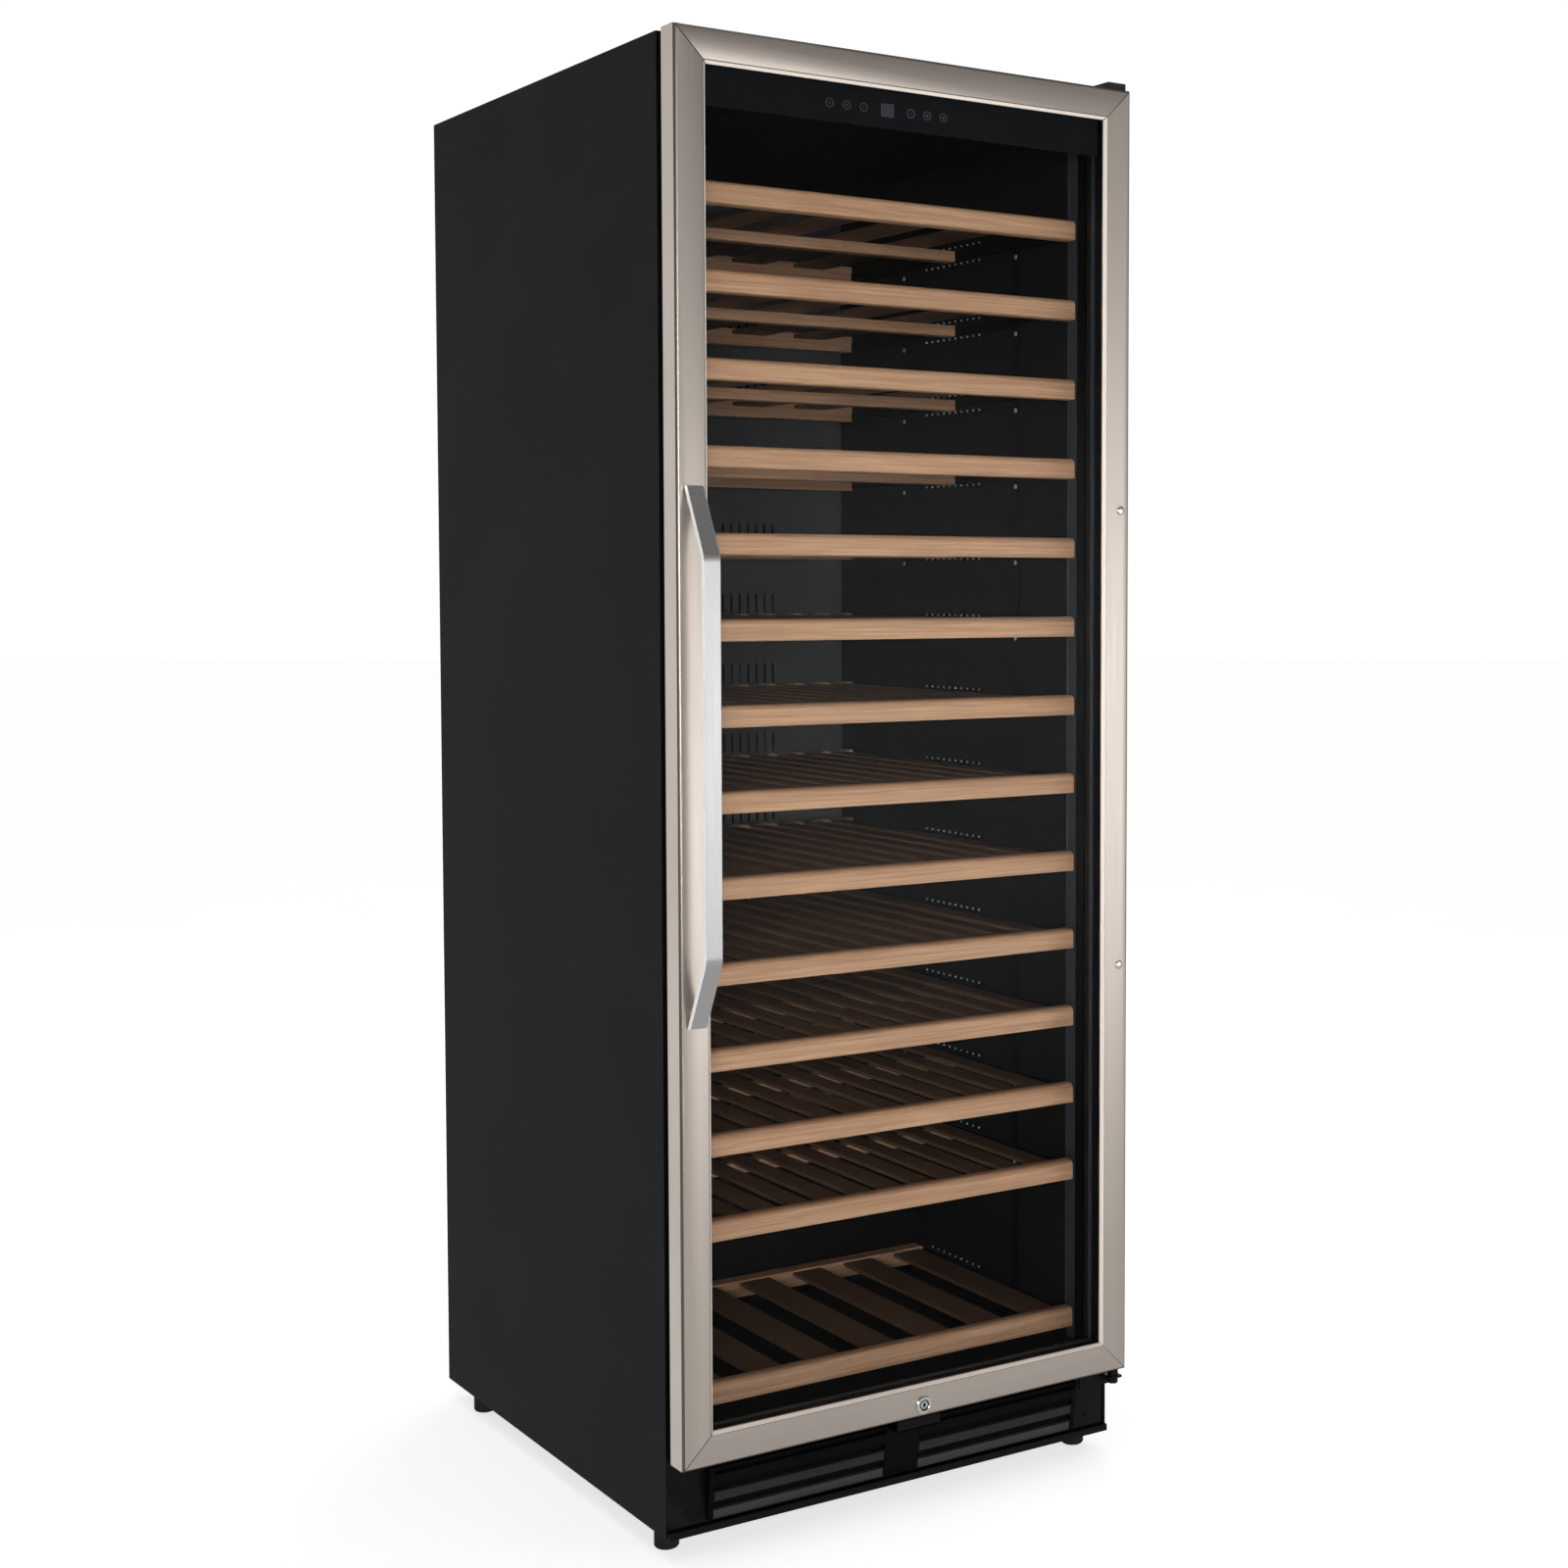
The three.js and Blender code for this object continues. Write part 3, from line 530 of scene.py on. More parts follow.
class CoolerCaseSettings(bpy.types.PropertyGroup):
    """Case, liner and feet."""

    paint: color_setting("Case paint", "Colour of the painted sheet", 0.0145, 0.0145, 0.0175)
    gloss: number_setting("Paint roughness", "Roughness of the paint", 0.42)
    liner: color_setting("Liner", "Colour of the inner liner", 0.078, 0.08, 0.083)
    foot_ribs: IntProperty(name="Foot ribs", description="Ribs round each levelling foot", default=28)
    slit_count: IntProperty(name="Slits", description="Slits in each group of the duct cover", default=7)
    slit_pitch: number_setting("Slit pitch", "Spacing of the slits", 0.0125, "LENGTH")
    slit_width: number_setting("Slit width", "Width of a slit", 0.004, "LENGTH")


class CoolerDoorSettings(bpy.types.PropertyGroup):
    """Door frame, glass, handle and lock."""

    # The frame's grey is the steel's own; its warm cast is painted reflection of a warm room.
    steel: color_setting("Steel", "Colour of the brushed door frame", 0.62, 0.55, 0.495)
    steel_roughness: number_setting("Steel roughness", "Roughness of the frame", 0.34)
    # The inner door frame and the liner's edge strips take this colour made fourteen times lighter, painted
    # light.
    trim: color_setting("Inner trim", "Colour of the inner frame and control band", 0.0045, 0.0052, 0.0066)
    tint: color_setting("Glass tint", "Light let through by each face of the outer pane", 0.95, 0.952, 0.955)
    glass_gloss: number_setting("Glass gloss", "Mirror share of the glass met head on", 0.002)
    handle_color: color_setting("Handle", "Colour of the handle's brushed face", 0.6, 0.595, 0.59)
    handle_standoff: number_setting("Handle standoff", "Front of the bow from the door", 0.045, "LENGTH")
    handle_thickness: number_setting("Handle thickness", "Thickness of the bar", 0.006, "LENGTH")
    handle_straight: number_setting("Straight length", "Length between bends", 0.427, "LENGTH")


class CoolerShelfSettings(bpy.types.PropertyGroup):
    """Wooden shelves and their slides."""

    light: color_setting("Light wood", "Lighter tone of the beech", 0.79, 0.465, 0.275)
    dark: color_setting("Dark wood", "Darker tone of the beech", 0.61, 0.33, 0.18)
    rail_depth: number_setting("Rail depth", "Front to back size of a rail", 0.02, "LENGTH")
    comb_pitch: number_setting("Comb pitch", "Spacing of the rear rail's scallops", 0.042, "LENGTH")
    ball_count: IntProperty(name="Balls", description="Balls showing in each fixed slide", default=10)


class CoolerStageSettings(bpy.types.PropertyGroup):
    """Camera, floor and lights."""

    camera_place: FloatVectorProperty(name="Camera", description="Place of the camera", subtype="XYZ",
                                      unit="LENGTH", size=3, default=(-1.4111, -2.5652, 1.0681))
    yaw: number_setting("Yaw", "Turn of the camera from +Y towards +X", 0.614, "ROTATION")
    pitch: number_setting("Pitch", "Tilt of the camera above level", -0.056, "ROTATION")
    roll: number_setting("Roll", "Roll of the camera", 0.002, "ROTATION")
    lens: number_setting("Lens", "Focal length for a 36 mm sensor", 54.17)
    shift_x: number_setting("Shift across", "Sideways lens shift", -0.1656)
    shift_y: number_setting("Shift up", "Upward lens shift", -0.045)
    key_power: number_setting("Key light", "Power of the narrow light at the front left", 5.1, "POWER")
    front_power: number_setting("Front light", "Power of the soft light at the front right", 18.0, "POWER")
    back_power: number_setting("Back light", "Power of the light at the back right", 30.0, "POWER")
    top_power: number_setting("Top light", "Power of the overhead light", 16.0, "POWER")
    level_light: number_setting("Level light", "Room light from level and below", 0.5)
    high_light: number_setting("High light", "Room light from above, short of overhead", 0.16)


# ---------------------------------------------------------------- operators


class COOLER_OT_case(bpy.types.Operator):
    """Painted side, top and base sheets, front surround, foam, and the zinc-coated back"""

    bl_idname = "cooler.case"
    bl_label = "Case"

    def execute(self, context):
        refined("left_side_panel", "side_sheet_left", ("case_paint",), 0.55)
        refined("right_side_panel", "side_sheet_right", ("case_paint",), 0.55)
        refined("top_panel", "top_sheet", ("case_paint",), 0.4)
        refined("base_pan", "base_tray", ("black_steel",), 0.5)
        refined("rear_grille", "rear_louvres", ("black_steel",), 0.35)
        dress("zinc_sheet", "back_panel")
        dress("foam", "insulation_foam")
        refined("front_flange", "front_surround", ("matt_black",), 0.6)
        return {"FINISHED"}


class COOLER_OT_feet(bpy.types.Operator):
    """Ribbed levelling feet on their studs"""

    bl_idname = "cooler.feet"
    bl_label = "Feet"

    def execute(self, context):
        ribs = context.scene.cooler_case.foot_ribs
        for node in [f"foot_{end}_{side}" for end in ("front", "back") for side in ("left", "right")]:
            height = node_box(node)[1][2]
            top = height - 20
            profile = [(1, 0), (11.2, 0), (12.4, 0.7), (13.9, 2.6), (13.9, 3, 1), (13.9, 16.4, 1), (13.9, 17),
                       (13.4, 19), (12.5, top - 0.4), (12, top), (5, top), (5, height - 1), (4, height)]
            shell = turned(profile, [*node_middle(node)[:2], 0], 2, ribs * 6, ribs=ribs, rib_depth=0.8)
            piece(f"levelling_{node}", [(shell, 0)], ("rubber",), node, (node,), 50)
        return {"FINISHED"}


class COOLER_OT_kick_plate(bpy.types.Operator):
    """Leaning louvred panel with a smooth middle block, painted highlight on its raised bands and painted
    shade in its slots, and the keeper for the lock's cam
    """

    bl_idname = "cooler.kick_plate"
    bl_label = "Kick plate"

    def execute(self, context):
        low, high = node_box("kick_plate")
        crest = 96.0
        shell, numbers = self.panel(high[0], high[1], low[2], crest)
        finishes = ("matt_black", "slot_dark", "louvre_shade", "louvre_plastic")
        piece("louvre_panel", [(shell, numbers)], finishes, "cabinet", ("kick_plate",), 60)
        left, right, front = -22, 36, FRONT_Y + 10
        floor = bar((left, front, crest - 1), (right, front + 26, crest + 1.5), 0.5, 0)
        wall = bar((left, front, crest - 1), (right, front + 3, high[2]), 0.5, 0)
        piece("lock_keeper", [(floor, 0), (wall, 0)], ("black_steel",), "cabinet")
        return {"FINISHED"}

    @staticmethod
    def panel(half, back, bottom, crest):
        """Front y at (x, z): the leaning plane, set back by 5.5 mm times a soft step of how far the point is
        inside the nearest round-ended slot, and bulged by 0.7 mm between slots. A flat back closes it."""
        slots = [(51.2, 4.7), (72.4, 4.7), (91.2, 2.6)]
        painted_highlight_bands = ((2, 55, 69), (3, 35.5, 48))
        inner, outer, lean_from, slot_depth = 22.0, half - 6, 88, 5.5
        near_ends = [sign * (end + np.linspace(-7, 7, 15)) for end in (inner, outer) for sign in (-1, 1)]
        x = np.unique(np.round(np.concatenate([np.linspace(-half, half, 61), *near_ends]), 2))
        x = x[np.abs(x) <= half]
        near_slots = [z + sign * (size + np.linspace(-1.4, 1.4, 7)) for z, size in slots for sign in (-1, 1)]
        z = np.unique(np.round(np.concatenate([np.linspace(bottom, crest, 24), *near_slots]), 2))
        z = z[(z >= bottom) & (z <= crest)]
        rows, columns = len(z), len(x)
        grid_z, grid_x = np.meshgrid(z, x, indexing="ij")
        reach = np.abs(grid_x)
        inside = np.full(grid_x.shape, -9.0)
        for height, size in slots:
            along = np.clip(reach, inner + size, outer - size)
            inside = np.maximum(inside, size - np.hypot(reach - along, grid_z - height))
        cut = soft_step(inside, 0.7)
        bulge = 0.7 * np.clip(-inside / 6, 0, 1) * soft_step(outer - reach, 4) * soft_step(reach - inner, 2)
        plane = FRONT_Y + 33 + 9 * np.clip((lean_from - grid_z) / (lean_from - bottom), 0, 1)
        front = np.minimum(plane - bulge + slot_depth * cut, back - 0.8)
        sheets = [np.stack([grid_x, y, grid_z], -1) for y in (front, np.full(front.shape, back))]
        points = np.concatenate([sheet.reshape(-1, 3) for sheet in sheets])
        count = rows * columns
        faces = grid_faces(rows, columns, False, False)
        shown = len(faces)
        faces += [[index + count for index in face][::-1] for face in faces]
        index = np.arange(count).reshape(rows, columns)
        edge = np.concatenate([index[0, :-1], index[:-1, -1], index[-1, :0:-1], index[:0:-1, 0]]).tolist()
        faces += [[b, a, a + count, b + count] for a, b in zip(edge, edge[1:] + edge[:1])]
        corners = np.array(faces[:shown])
        numbers = np.zeros(len(faces), int)
        # Faces on the two raised bands take the lighter blacks, painted highlight.
        for number, low, high in painted_highlight_bands:
            band = (reach > inner + 1) & (reach < outer - 1) & (grid_z > low) & (grid_z < high)
            numbers[:shown][band.reshape(-1)[corners].all(axis=1)] = number
        # Faces inside the slots take the blacker finish, painted shade.
        numbers[:shown][(cut.reshape(-1) > 0.5)[corners].all(axis=1)] = 1
        return outward(points, faces), numbers


class COOLER_OT_hinges(bpy.types.Operator):
    """Top and bottom hinge brackets"""

    bl_idname = "cooler.hinges"
    bl_label = "Hinges"

    def execute(self, context):
        refined("top_hinge_bracket", "hinge_cover_top", ("black_plastic",), 0.8)
        refined("bottom_hinge_bracket", "hinge_plate_bottom", ("black_steel",), 0.4)
        return {"FINISHED"}


class COOLER_OT_interior(bpy.types.Operator):
    """Liner with its side walls, ceiling and floor in painted shade, duct cover with its slit groups, lamp,
    ceiling holes, edge strips in painted light and side wall beads
    """

    bl_idname = "cooler.interior"
    bl_label = "Interior"

    def execute(self, context):
        dress("liner_plastic", "liner_rear_wall")
        # Side walls, ceiling and floor take the darkened liner, painted shade.
        dress("liner_side", "liner_left_wall", "liner_right_wall", "liner_ceiling", "liner_floor")
        refined("air_duct_cover", "duct_cover", ("liner_plastic",), 0.3)
        refined("light_bar", "ceiling_lamp", ("lamp_cover",), 0.8)
        self.slits(context.scene.cooler_case)
        walls = [(node_box("liner_left_wall")[1][0], 1), (node_box("liner_right_wall")[0][0], -1)]
        # The edge strips take the lightened trim, painted light of a lit band beside the shelves.
        strips = [bar((wall - side * 0.2, FRONT_Y + 44, 137), (wall + side * 0.9, FRONT_Y + 79, 1599), 0.3, 2)
                  for wall, side in walls]
        piece("liner_edge_strips", [(strip, 0) for strip in strips], ("inner_trim",), "cabinet")
        ceiling = node_box("liner_ceiling")[0][2]
        hole = turned([(1.9, 0.2), (1.9, -0.3), (1.1, -0.5)], (0, 0, 0), 2, 12)
        spots = [(x, FRONT_Y + y, ceiling) for y in (130, 215) for x in np.linspace(-210, 210, 11)]
        piece("ceiling_holes", [(repeated(hole, spots), 0)], ("print_grey",), "cabinet")
        # The beads' grey, lighter than the shaded side walls, stands in for a highlight line down each wall:
        # painted highlight.
        beads = [bar((wall, FRONT_Y + 80, 150), (wall + side * 1.2, FRONT_Y + 81.6, 1585), 0.4, 2)
                 for wall, side in walls]
        piece("liner_beads", [(bead, 0) for bead in beads], ("print_grey",), "cabinet")
        return {"FINISHED"}

    @staticmethod
    def slits(settings):
        """Two groups of slits behind each gap between shelves: a near-black backing, painted shade behind the
        slits, with the ribs left between.
        """
        pitch, width = settings.slit_pitch / MM, settings.slit_width / MM
        duct, height, rise, ribs = node_box("air_duct_cover")[0][1], 26, 11, settings.slit_count - 1
        groups = [(centre, duct, node_middle(node)[2] + rise)
                  for node in SHELVES[1:-1] for centre in (-106, 106)]
        steps = (np.arange(ribs) - (ribs - 1) / 2) * pitch
        places = [(centre + step, y, z) for centre, y, z in groups for step in steps]
        rib = bar(((width - pitch) / 2, 0.1, 0), ((pitch - width) / 2, 1.4, height), 0.4, 2)
        # The backing is painted shade behind the slits.
        backing = bar((-40, 1.3, 0), (40, 1.9, height), 0.1, 2)
        piece("duct_slit_ribs", [(repeated(rib, places), 0), (repeated(backing, groups), 1)],
              ("liner_plastic", "slot_dark"), "cabinet")


class COOLER_OT_machinery(bpy.types.Operator):
    """Compressor, condenser, evaporator, both fans and the cable gland"""

    bl_idname = "cooler.machinery"
    bl_label = "Machinery"

    def execute(self, context):
        dress("black_steel", "compressor")
        dress("copper", "condenser")
        dress("fin_metal", "evaporator")
        dress("black_plastic", "circulation_fan", "condenser_fan", "cable_gland")
        return {"FINISHED"}


class COOLER_OT_slides(bpy.types.Operator):
    """Fixed slide channels on both walls, with their rows of balls and screws"""

    bl_idname = "cooler.slides"
    bl_label = "Slides"

    def execute(self, context):
        balls = context.scene.cooler_shelf.ball_count
        angle = np.radians(np.linspace(-80, 80, 7))
        ball = turned(1.4 * np.stack([np.cos(angle), np.sin(angle)], -1), (0, 0, 0), 2, 10)
        for side, name in ((-1, "left"), (1, "right")):
            node = f"{name}_slide_rack"
            low, high = node_box(node)
            wall, face = (low[0], high[0]) if side < 0 else (high[0], low[0])
            screw = [(2.9, 0), (2.9, -side * 0.5), (2, -side * 1.1), (0.6, -side * 1.3)]
            head = turned(screw, (0, 0, 0), 0, 12)
            upright = bar((wall, FRONT_Y + 184, low[2]), (wall - side * 0.7, FRONT_Y + 198, high[2]), 0.2, 2)
            shells, dots, heads = [upright], [], []
            for shelf in SHELVES:
                z, length = node_middle(shelf)[2], 396 if shelf == SHELVES[-1] else 520
                self.channel(side, wall, face, low[1], z, length, balls, shells, dots, heads)
            parts = [(shell, 0) for shell in shells] + [(repeated(ball, dots), 1), (repeated(head, heads), 1)]
            finishes = ("black_steel", "pale_nylon")
            piece(f"slide_channels_{name}", parts, finishes, "cabinet", (node,))
        return {"FINISHED"}

    @staticmethod
    def channel(side, wall, face, start, z, length, balls, shells, dots, heads):
        """One channel: a C section along y, two ball cages with their balls, and screw plates below."""
        web, end = wall - side * 1.2, FRONT_Y + length
        outline = [(face, z - 9), (wall, z - 9), (wall, z + 3), (face, z + 3), (face, z + 1.9),
                   (web, z + 1.9), (web, z - 7.9), (face, z - 7.9)]
        shells.append(extruded(outline, start, end, 1, (0, 2)))
        rows = [y for y in FRONT_Y + 271 + 13.9 * np.arange(balls) if y < end - 6]
        for level in (z + 10.2, z - 11.6):
            dots += [(web - side * 1.5, y, level) for y in rows]
            cage_end = min(end - 4, FRONT_Y + 402)
            shells.append(bar((web, FRONT_Y + 262, level - 1.6), (wall, cage_end, level + 1.6), 0.3, 1))
        for y in (FRONT_Y + 191, FRONT_Y + 454):
            if y < end - 6:
                heads.append((web, y, z - 17))
                shells.append(bar((web, y - 5, z - 22), (wall, y + 5, z - 8.5), 0.3, 1))


class COOLER_OT_shelves(bpy.types.Operator):
    """Beech shelves: rounded front rail, slats, middle rail, combed rear rail and moving slides"""

    bl_idname = "cooler.shelves"
    bl_label = "Shelves"

    def execute(self, context):
        settings = context.scene.cooler_shelf
        finishes = ("beech_across", "beech_deep", "black_steel")
        for index, node in enumerate(SHELVES):
            slats = (5, 48, 93) if index < WIDE_SLAT_SHELVES else (12, 27, 42)
            middle = FRONT_Y + 311
            if node == SHELVES[-1]:
                slats, middle = (7, 42, 76), None
            parts = self.shelf(*node_box(node), middle, *slats, settings)
            piece(f"wooden_{node}", parts, finishes, node, (node,), 10)
        return {"FINISHED"}

    @staticmethod
    def shelf(low, high, middle, count, width, pitch, settings):
        """The parts of one shelf. The front rail is an outline in y and z carried along x; the rear rail's
        top edge is z = crest - 5 sin^2(pi x / pitch) under narrow slats and level under wide ones. The
        lowest shelf has no middle rail."""
        depth = settings.rail_depth / MM
        front, back, bottom = low[1], high[1], low[2] + 1
        top, under = high[2] - 4, high[2] - 9
        points = np.array([(front, low[2]), (front + depth, low[2]), (front + depth, high[2]),
                           (front, high[2])])
        arcs = [fillet(points[i - 1], points[i], points[(i + 1) % 4], (2, 1.2, 6, 7)[i], 7) for i in range(4)]
        slat = bar((-width / 2, front + depth - 1, under), (width / 2, back - depth + 1, top), 1.2, 1, 2)
        slats = [(step * pitch, 0, 0) for step in np.arange(count) - (count - 1) / 2]
        # The slats take the darkened beech, painted shade.
        parts = [(extruded(np.concatenate(arcs), low[0], high[0], 0, (1, 2)), 0), (repeated(slat, slats), 1)]
        left, right = low[0] + 6, high[0] - 6
        if middle is not None:
            parts.append((bar((left, middle, bottom), (right, middle + depth, under - 0.3), 0.8, 0), 0))
        x = np.linspace(left, right, 157)
        crest = high[2] - 2 - 5 * np.sin(np.pi * x / (settings.comb_pitch / MM)) ** 2 * (width < 40)
        edge = np.concatenate([np.stack([x, crest], -1), [(right, bottom), (left, bottom)]])
        parts.append((extruded(edge, back - depth, back, 1, (0, 2)), 0))
        slide = (low[2] + high[2]) / 2
        for inner, outer in ((low[0] + 1, low[0] + 7), (high[0] - 7, high[0] - 1)):
            runner = bar((inner, front + depth - 1, slide - 8), (outer, back - 5, slide + 2), 0.9, 1)
            parts.append((runner, 2))
        return parts


class COOLER_OT_door_frame(bpy.types.Operator):
    """Four mitred members of brushed stainless steel, with painted dark reflection on the bevels and outward
    front slopes, painted highlight on the inward front slopes and painted light on the stiles' outer sides
    """

    bl_idname = "cooler.door_frame"
    bl_label = "Door frame"

    def execute(self, context):
        inward = {"top": (0, -1), "bottom": (0, 1), "left": (1, 0), "right": (-1, 0)}
        for side, (along_x, along_z) in inward.items():
            face = "steel_upright" if along_x else "steel_across"
            finishes = (face, "steel_edge", "steel_bright", "steel_side")
            made = refined(f"door_frame_{side}", f"frame_member_{side}", finishes, 0.7)
            polygons = made.data.polygons
            normal, numbers = np.zeros(3 * len(polygons), np.float32), np.zeros(len(polygons), np.int32)
            polygons.foreach_get("normal", normal)
            polygons.foreach_get("material_index", numbers)
            across, out, up = normal.reshape(-1, 3).T
            lean = across * along_x + up * along_z
            painted_slope = (out < -0.3) & (np.abs(lean) > 0.3)
            # Outer sides of the stiles take the lighter steel, painted light.
            numbers[(lean < -0.9) & (along_x != 0) & ~painted_slope] = 3
            # Front slopes leaning outward take the dark steel, painted dark reflection, as the bevels do;
            # those leaning inward take the pale steel, painted highlight.
            numbers[painted_slope] = np.where(lean[painted_slope] > 0, 2, 1)
            polygons.foreach_set("material_index", numbers)
        return {"FINISHED"}


class COOLER_OT_glazing(bpy.types.Operator):
    """Tinted outer pane, clear inner pane, spacer, inner frame and gasket"""

    bl_idname = "cooler.glazing"
    bl_label = "Glazing"

    def execute(self, context):
        dress("tinted_pane", "outer_glass")
        dress("clear_pane", "inner_glass")
        dress("dark_trim", "glass_spacer")
        # The inner frame takes the lightened trim, painted light.
        refined("inner_door_frame", "door_inner_trim", ("inner_trim",), 0.6)
        refined("door_gasket", "door_seal", ("gasket_rubber",), 1.2)
        return {"FINISHED"}


class COOLER_OT_controls(bpy.types.Operator):
    """Control band with six ringed touch marks and a small display"""

    bl_idname = "cooler.controls"
    bl_label = "Controls"

    def execute(self, context):
        refined("control_panel", "control_band", ("dark_trim",), 0.3)
        face, z, display = node_box("control_panel")[0][1], node_middle("control_panel")[2] - 1, -32.0
        marks = []
        for step in range(3):
            for side in (-1, 1):
                x = display + side * (30.5 + 21.5 * step)
                marks.append(self.ring(4.2, 0.75, x, face, z, 40))
                marks += self.glyph(step + (side > 0) * 3, x, face, z)
        line, half_width, half_height = 0.6, 8, 7
        left, right = display - half_width, display + half_width
        bottom, top = z - half_height, z + half_height
        marks += [bar((left, face - 0.14, level), (right, face - 0.01, level + line), 0.05, 0)
                  for level in (bottom, top - line)]
        marks += [bar((x, face - 0.14, bottom), (x + line, face - 0.01, top), 0.05, 2)
                  for x in (left, right - line)]
        window = bar((left + 1, face - 0.1, bottom + 1), (right - 1, face - 0.01, top - 1), 0.04, 0)
        parts = [(mark, 0) for mark in marks] + [(window, 1)]
        piece("touch_marks", parts, ("print_grey", "display_dark"), "door")
        return {"FINISHED"}

    @staticmethod
    def ring(radius, width, x, face, z, sides):
        """A printed ring of that inner radius and line width."""
        section = [(radius, 0), (radius, -0.12), (radius + width, -0.12), (radius + width, 0)]
        return hoop(around(section, (x, face - 0.01, z), 1, sides))

    def glyph(self, kind, x, face, z):
        """A small plain sign: a stroke, a cross or a ring, some with a second mark."""
        front, back = face - 0.12, face - 0.01
        across = bar((x - 1.6, front, z - 0.3), (x + 1.6, back, z + 0.3), 0.04, 0)
        upright = bar((x - 0.3, front, z - 1.6), (x + 0.3, back, z + 1.6), 0.04, 2)
        ring = self.ring(1, 0.6, x, face, z, 24)
        return [[upright], [ring], [across, upright], [across], [ring, upright], [ring, across]][kind]


class COOLER_OT_handle(bpy.types.Operator):
    """Bow handle bent from a flat bar, on two posts; the flanks and posts take a near-white painted highlight
    """

    bl_idname = "cooler.handle"
    bl_label = "Handle"

    def execute(self, context):
        low, high = node_box("handle")
        half_width, end = (high[0] - low[0]) / 2, (high[2] - low[2]) / 2
        centre, _, middle = node_middle("handle")
        rings = []
        for front, back in zip(*self.sides(context.scene.cooler_door, end)):
            thick = front - back
            outline = rounded_rectangle(half_width, np.linalg.norm(thick) / 2, 0.9, 3)
            place = (front + back) / 2 + outline[:, 1:] * thick / np.linalg.norm(thick)
            rings.append(np.stack([centre + outline[:, 0], FRONT_Y + place[:, 0], middle + place[:, 1]], -1))
        points, faces = tube(np.array(rings))
        corners = points[np.array([face[:3] for face in faces])]
        normal = np.cross(corners[:, 1] - corners[:, 0], corners[:, 2] - corners[:, 0])
        # Faces turned sideways are the flanks, which take the painted highlight.
        painted_highlight_flank = np.abs(normal[:, 0]) > 0.6 * np.linalg.norm(normal, axis=1)
        post = turned([(4.4, -12), (4.9, -11.5), (4.9, -0.8), (4.6, -0.3)], (centre, FRONT_Y, middle), 1, 24)
        posts = repeated(post, [(0, 0, -272), (0, 0, 272)])
        parts, finishes = [((points, faces), painted_highlight_flank.astype(int)), (posts, 1)], ("handle_face", "handle_edge")
        piece("bow_handle", parts, finishes, "door", ("handle",), 10)
        return {"FINISHED"}

    @staticmethod
    def sides(settings, end):
        """Front and back lines of the bow in y and z, with matching points: straight legs from level end
        cuts, joined to the straight middle by arcs of 30 and 24 mm."""
        standoff, thickness = settings.handle_standoff / MM, settings.handle_thickness / MM
        bend, clearance = settings.handle_straight / MM / 2, 0.7
        slope = math.atan2(standoff - 7.5, end - bend)
        across = thickness / math.cos(slope)
        shift = thickness * math.tan(slope / 2)
        lines = []
        for foot, level, turn, radius in ((-clearance - across, -standoff, bend, 30),
                                          (-clearance, -standoff + thickness, bend - shift, 24)):
            corners = np.array([(foot, -end), (level, -turn), (level, turn), (foot, end)])
            arcs = [fillet(*corners[first:first + 3], radius, 10) for first in (0, 1)]
            lines.append(np.concatenate([corners[:1], *arcs, corners[3:]]))
        return lines


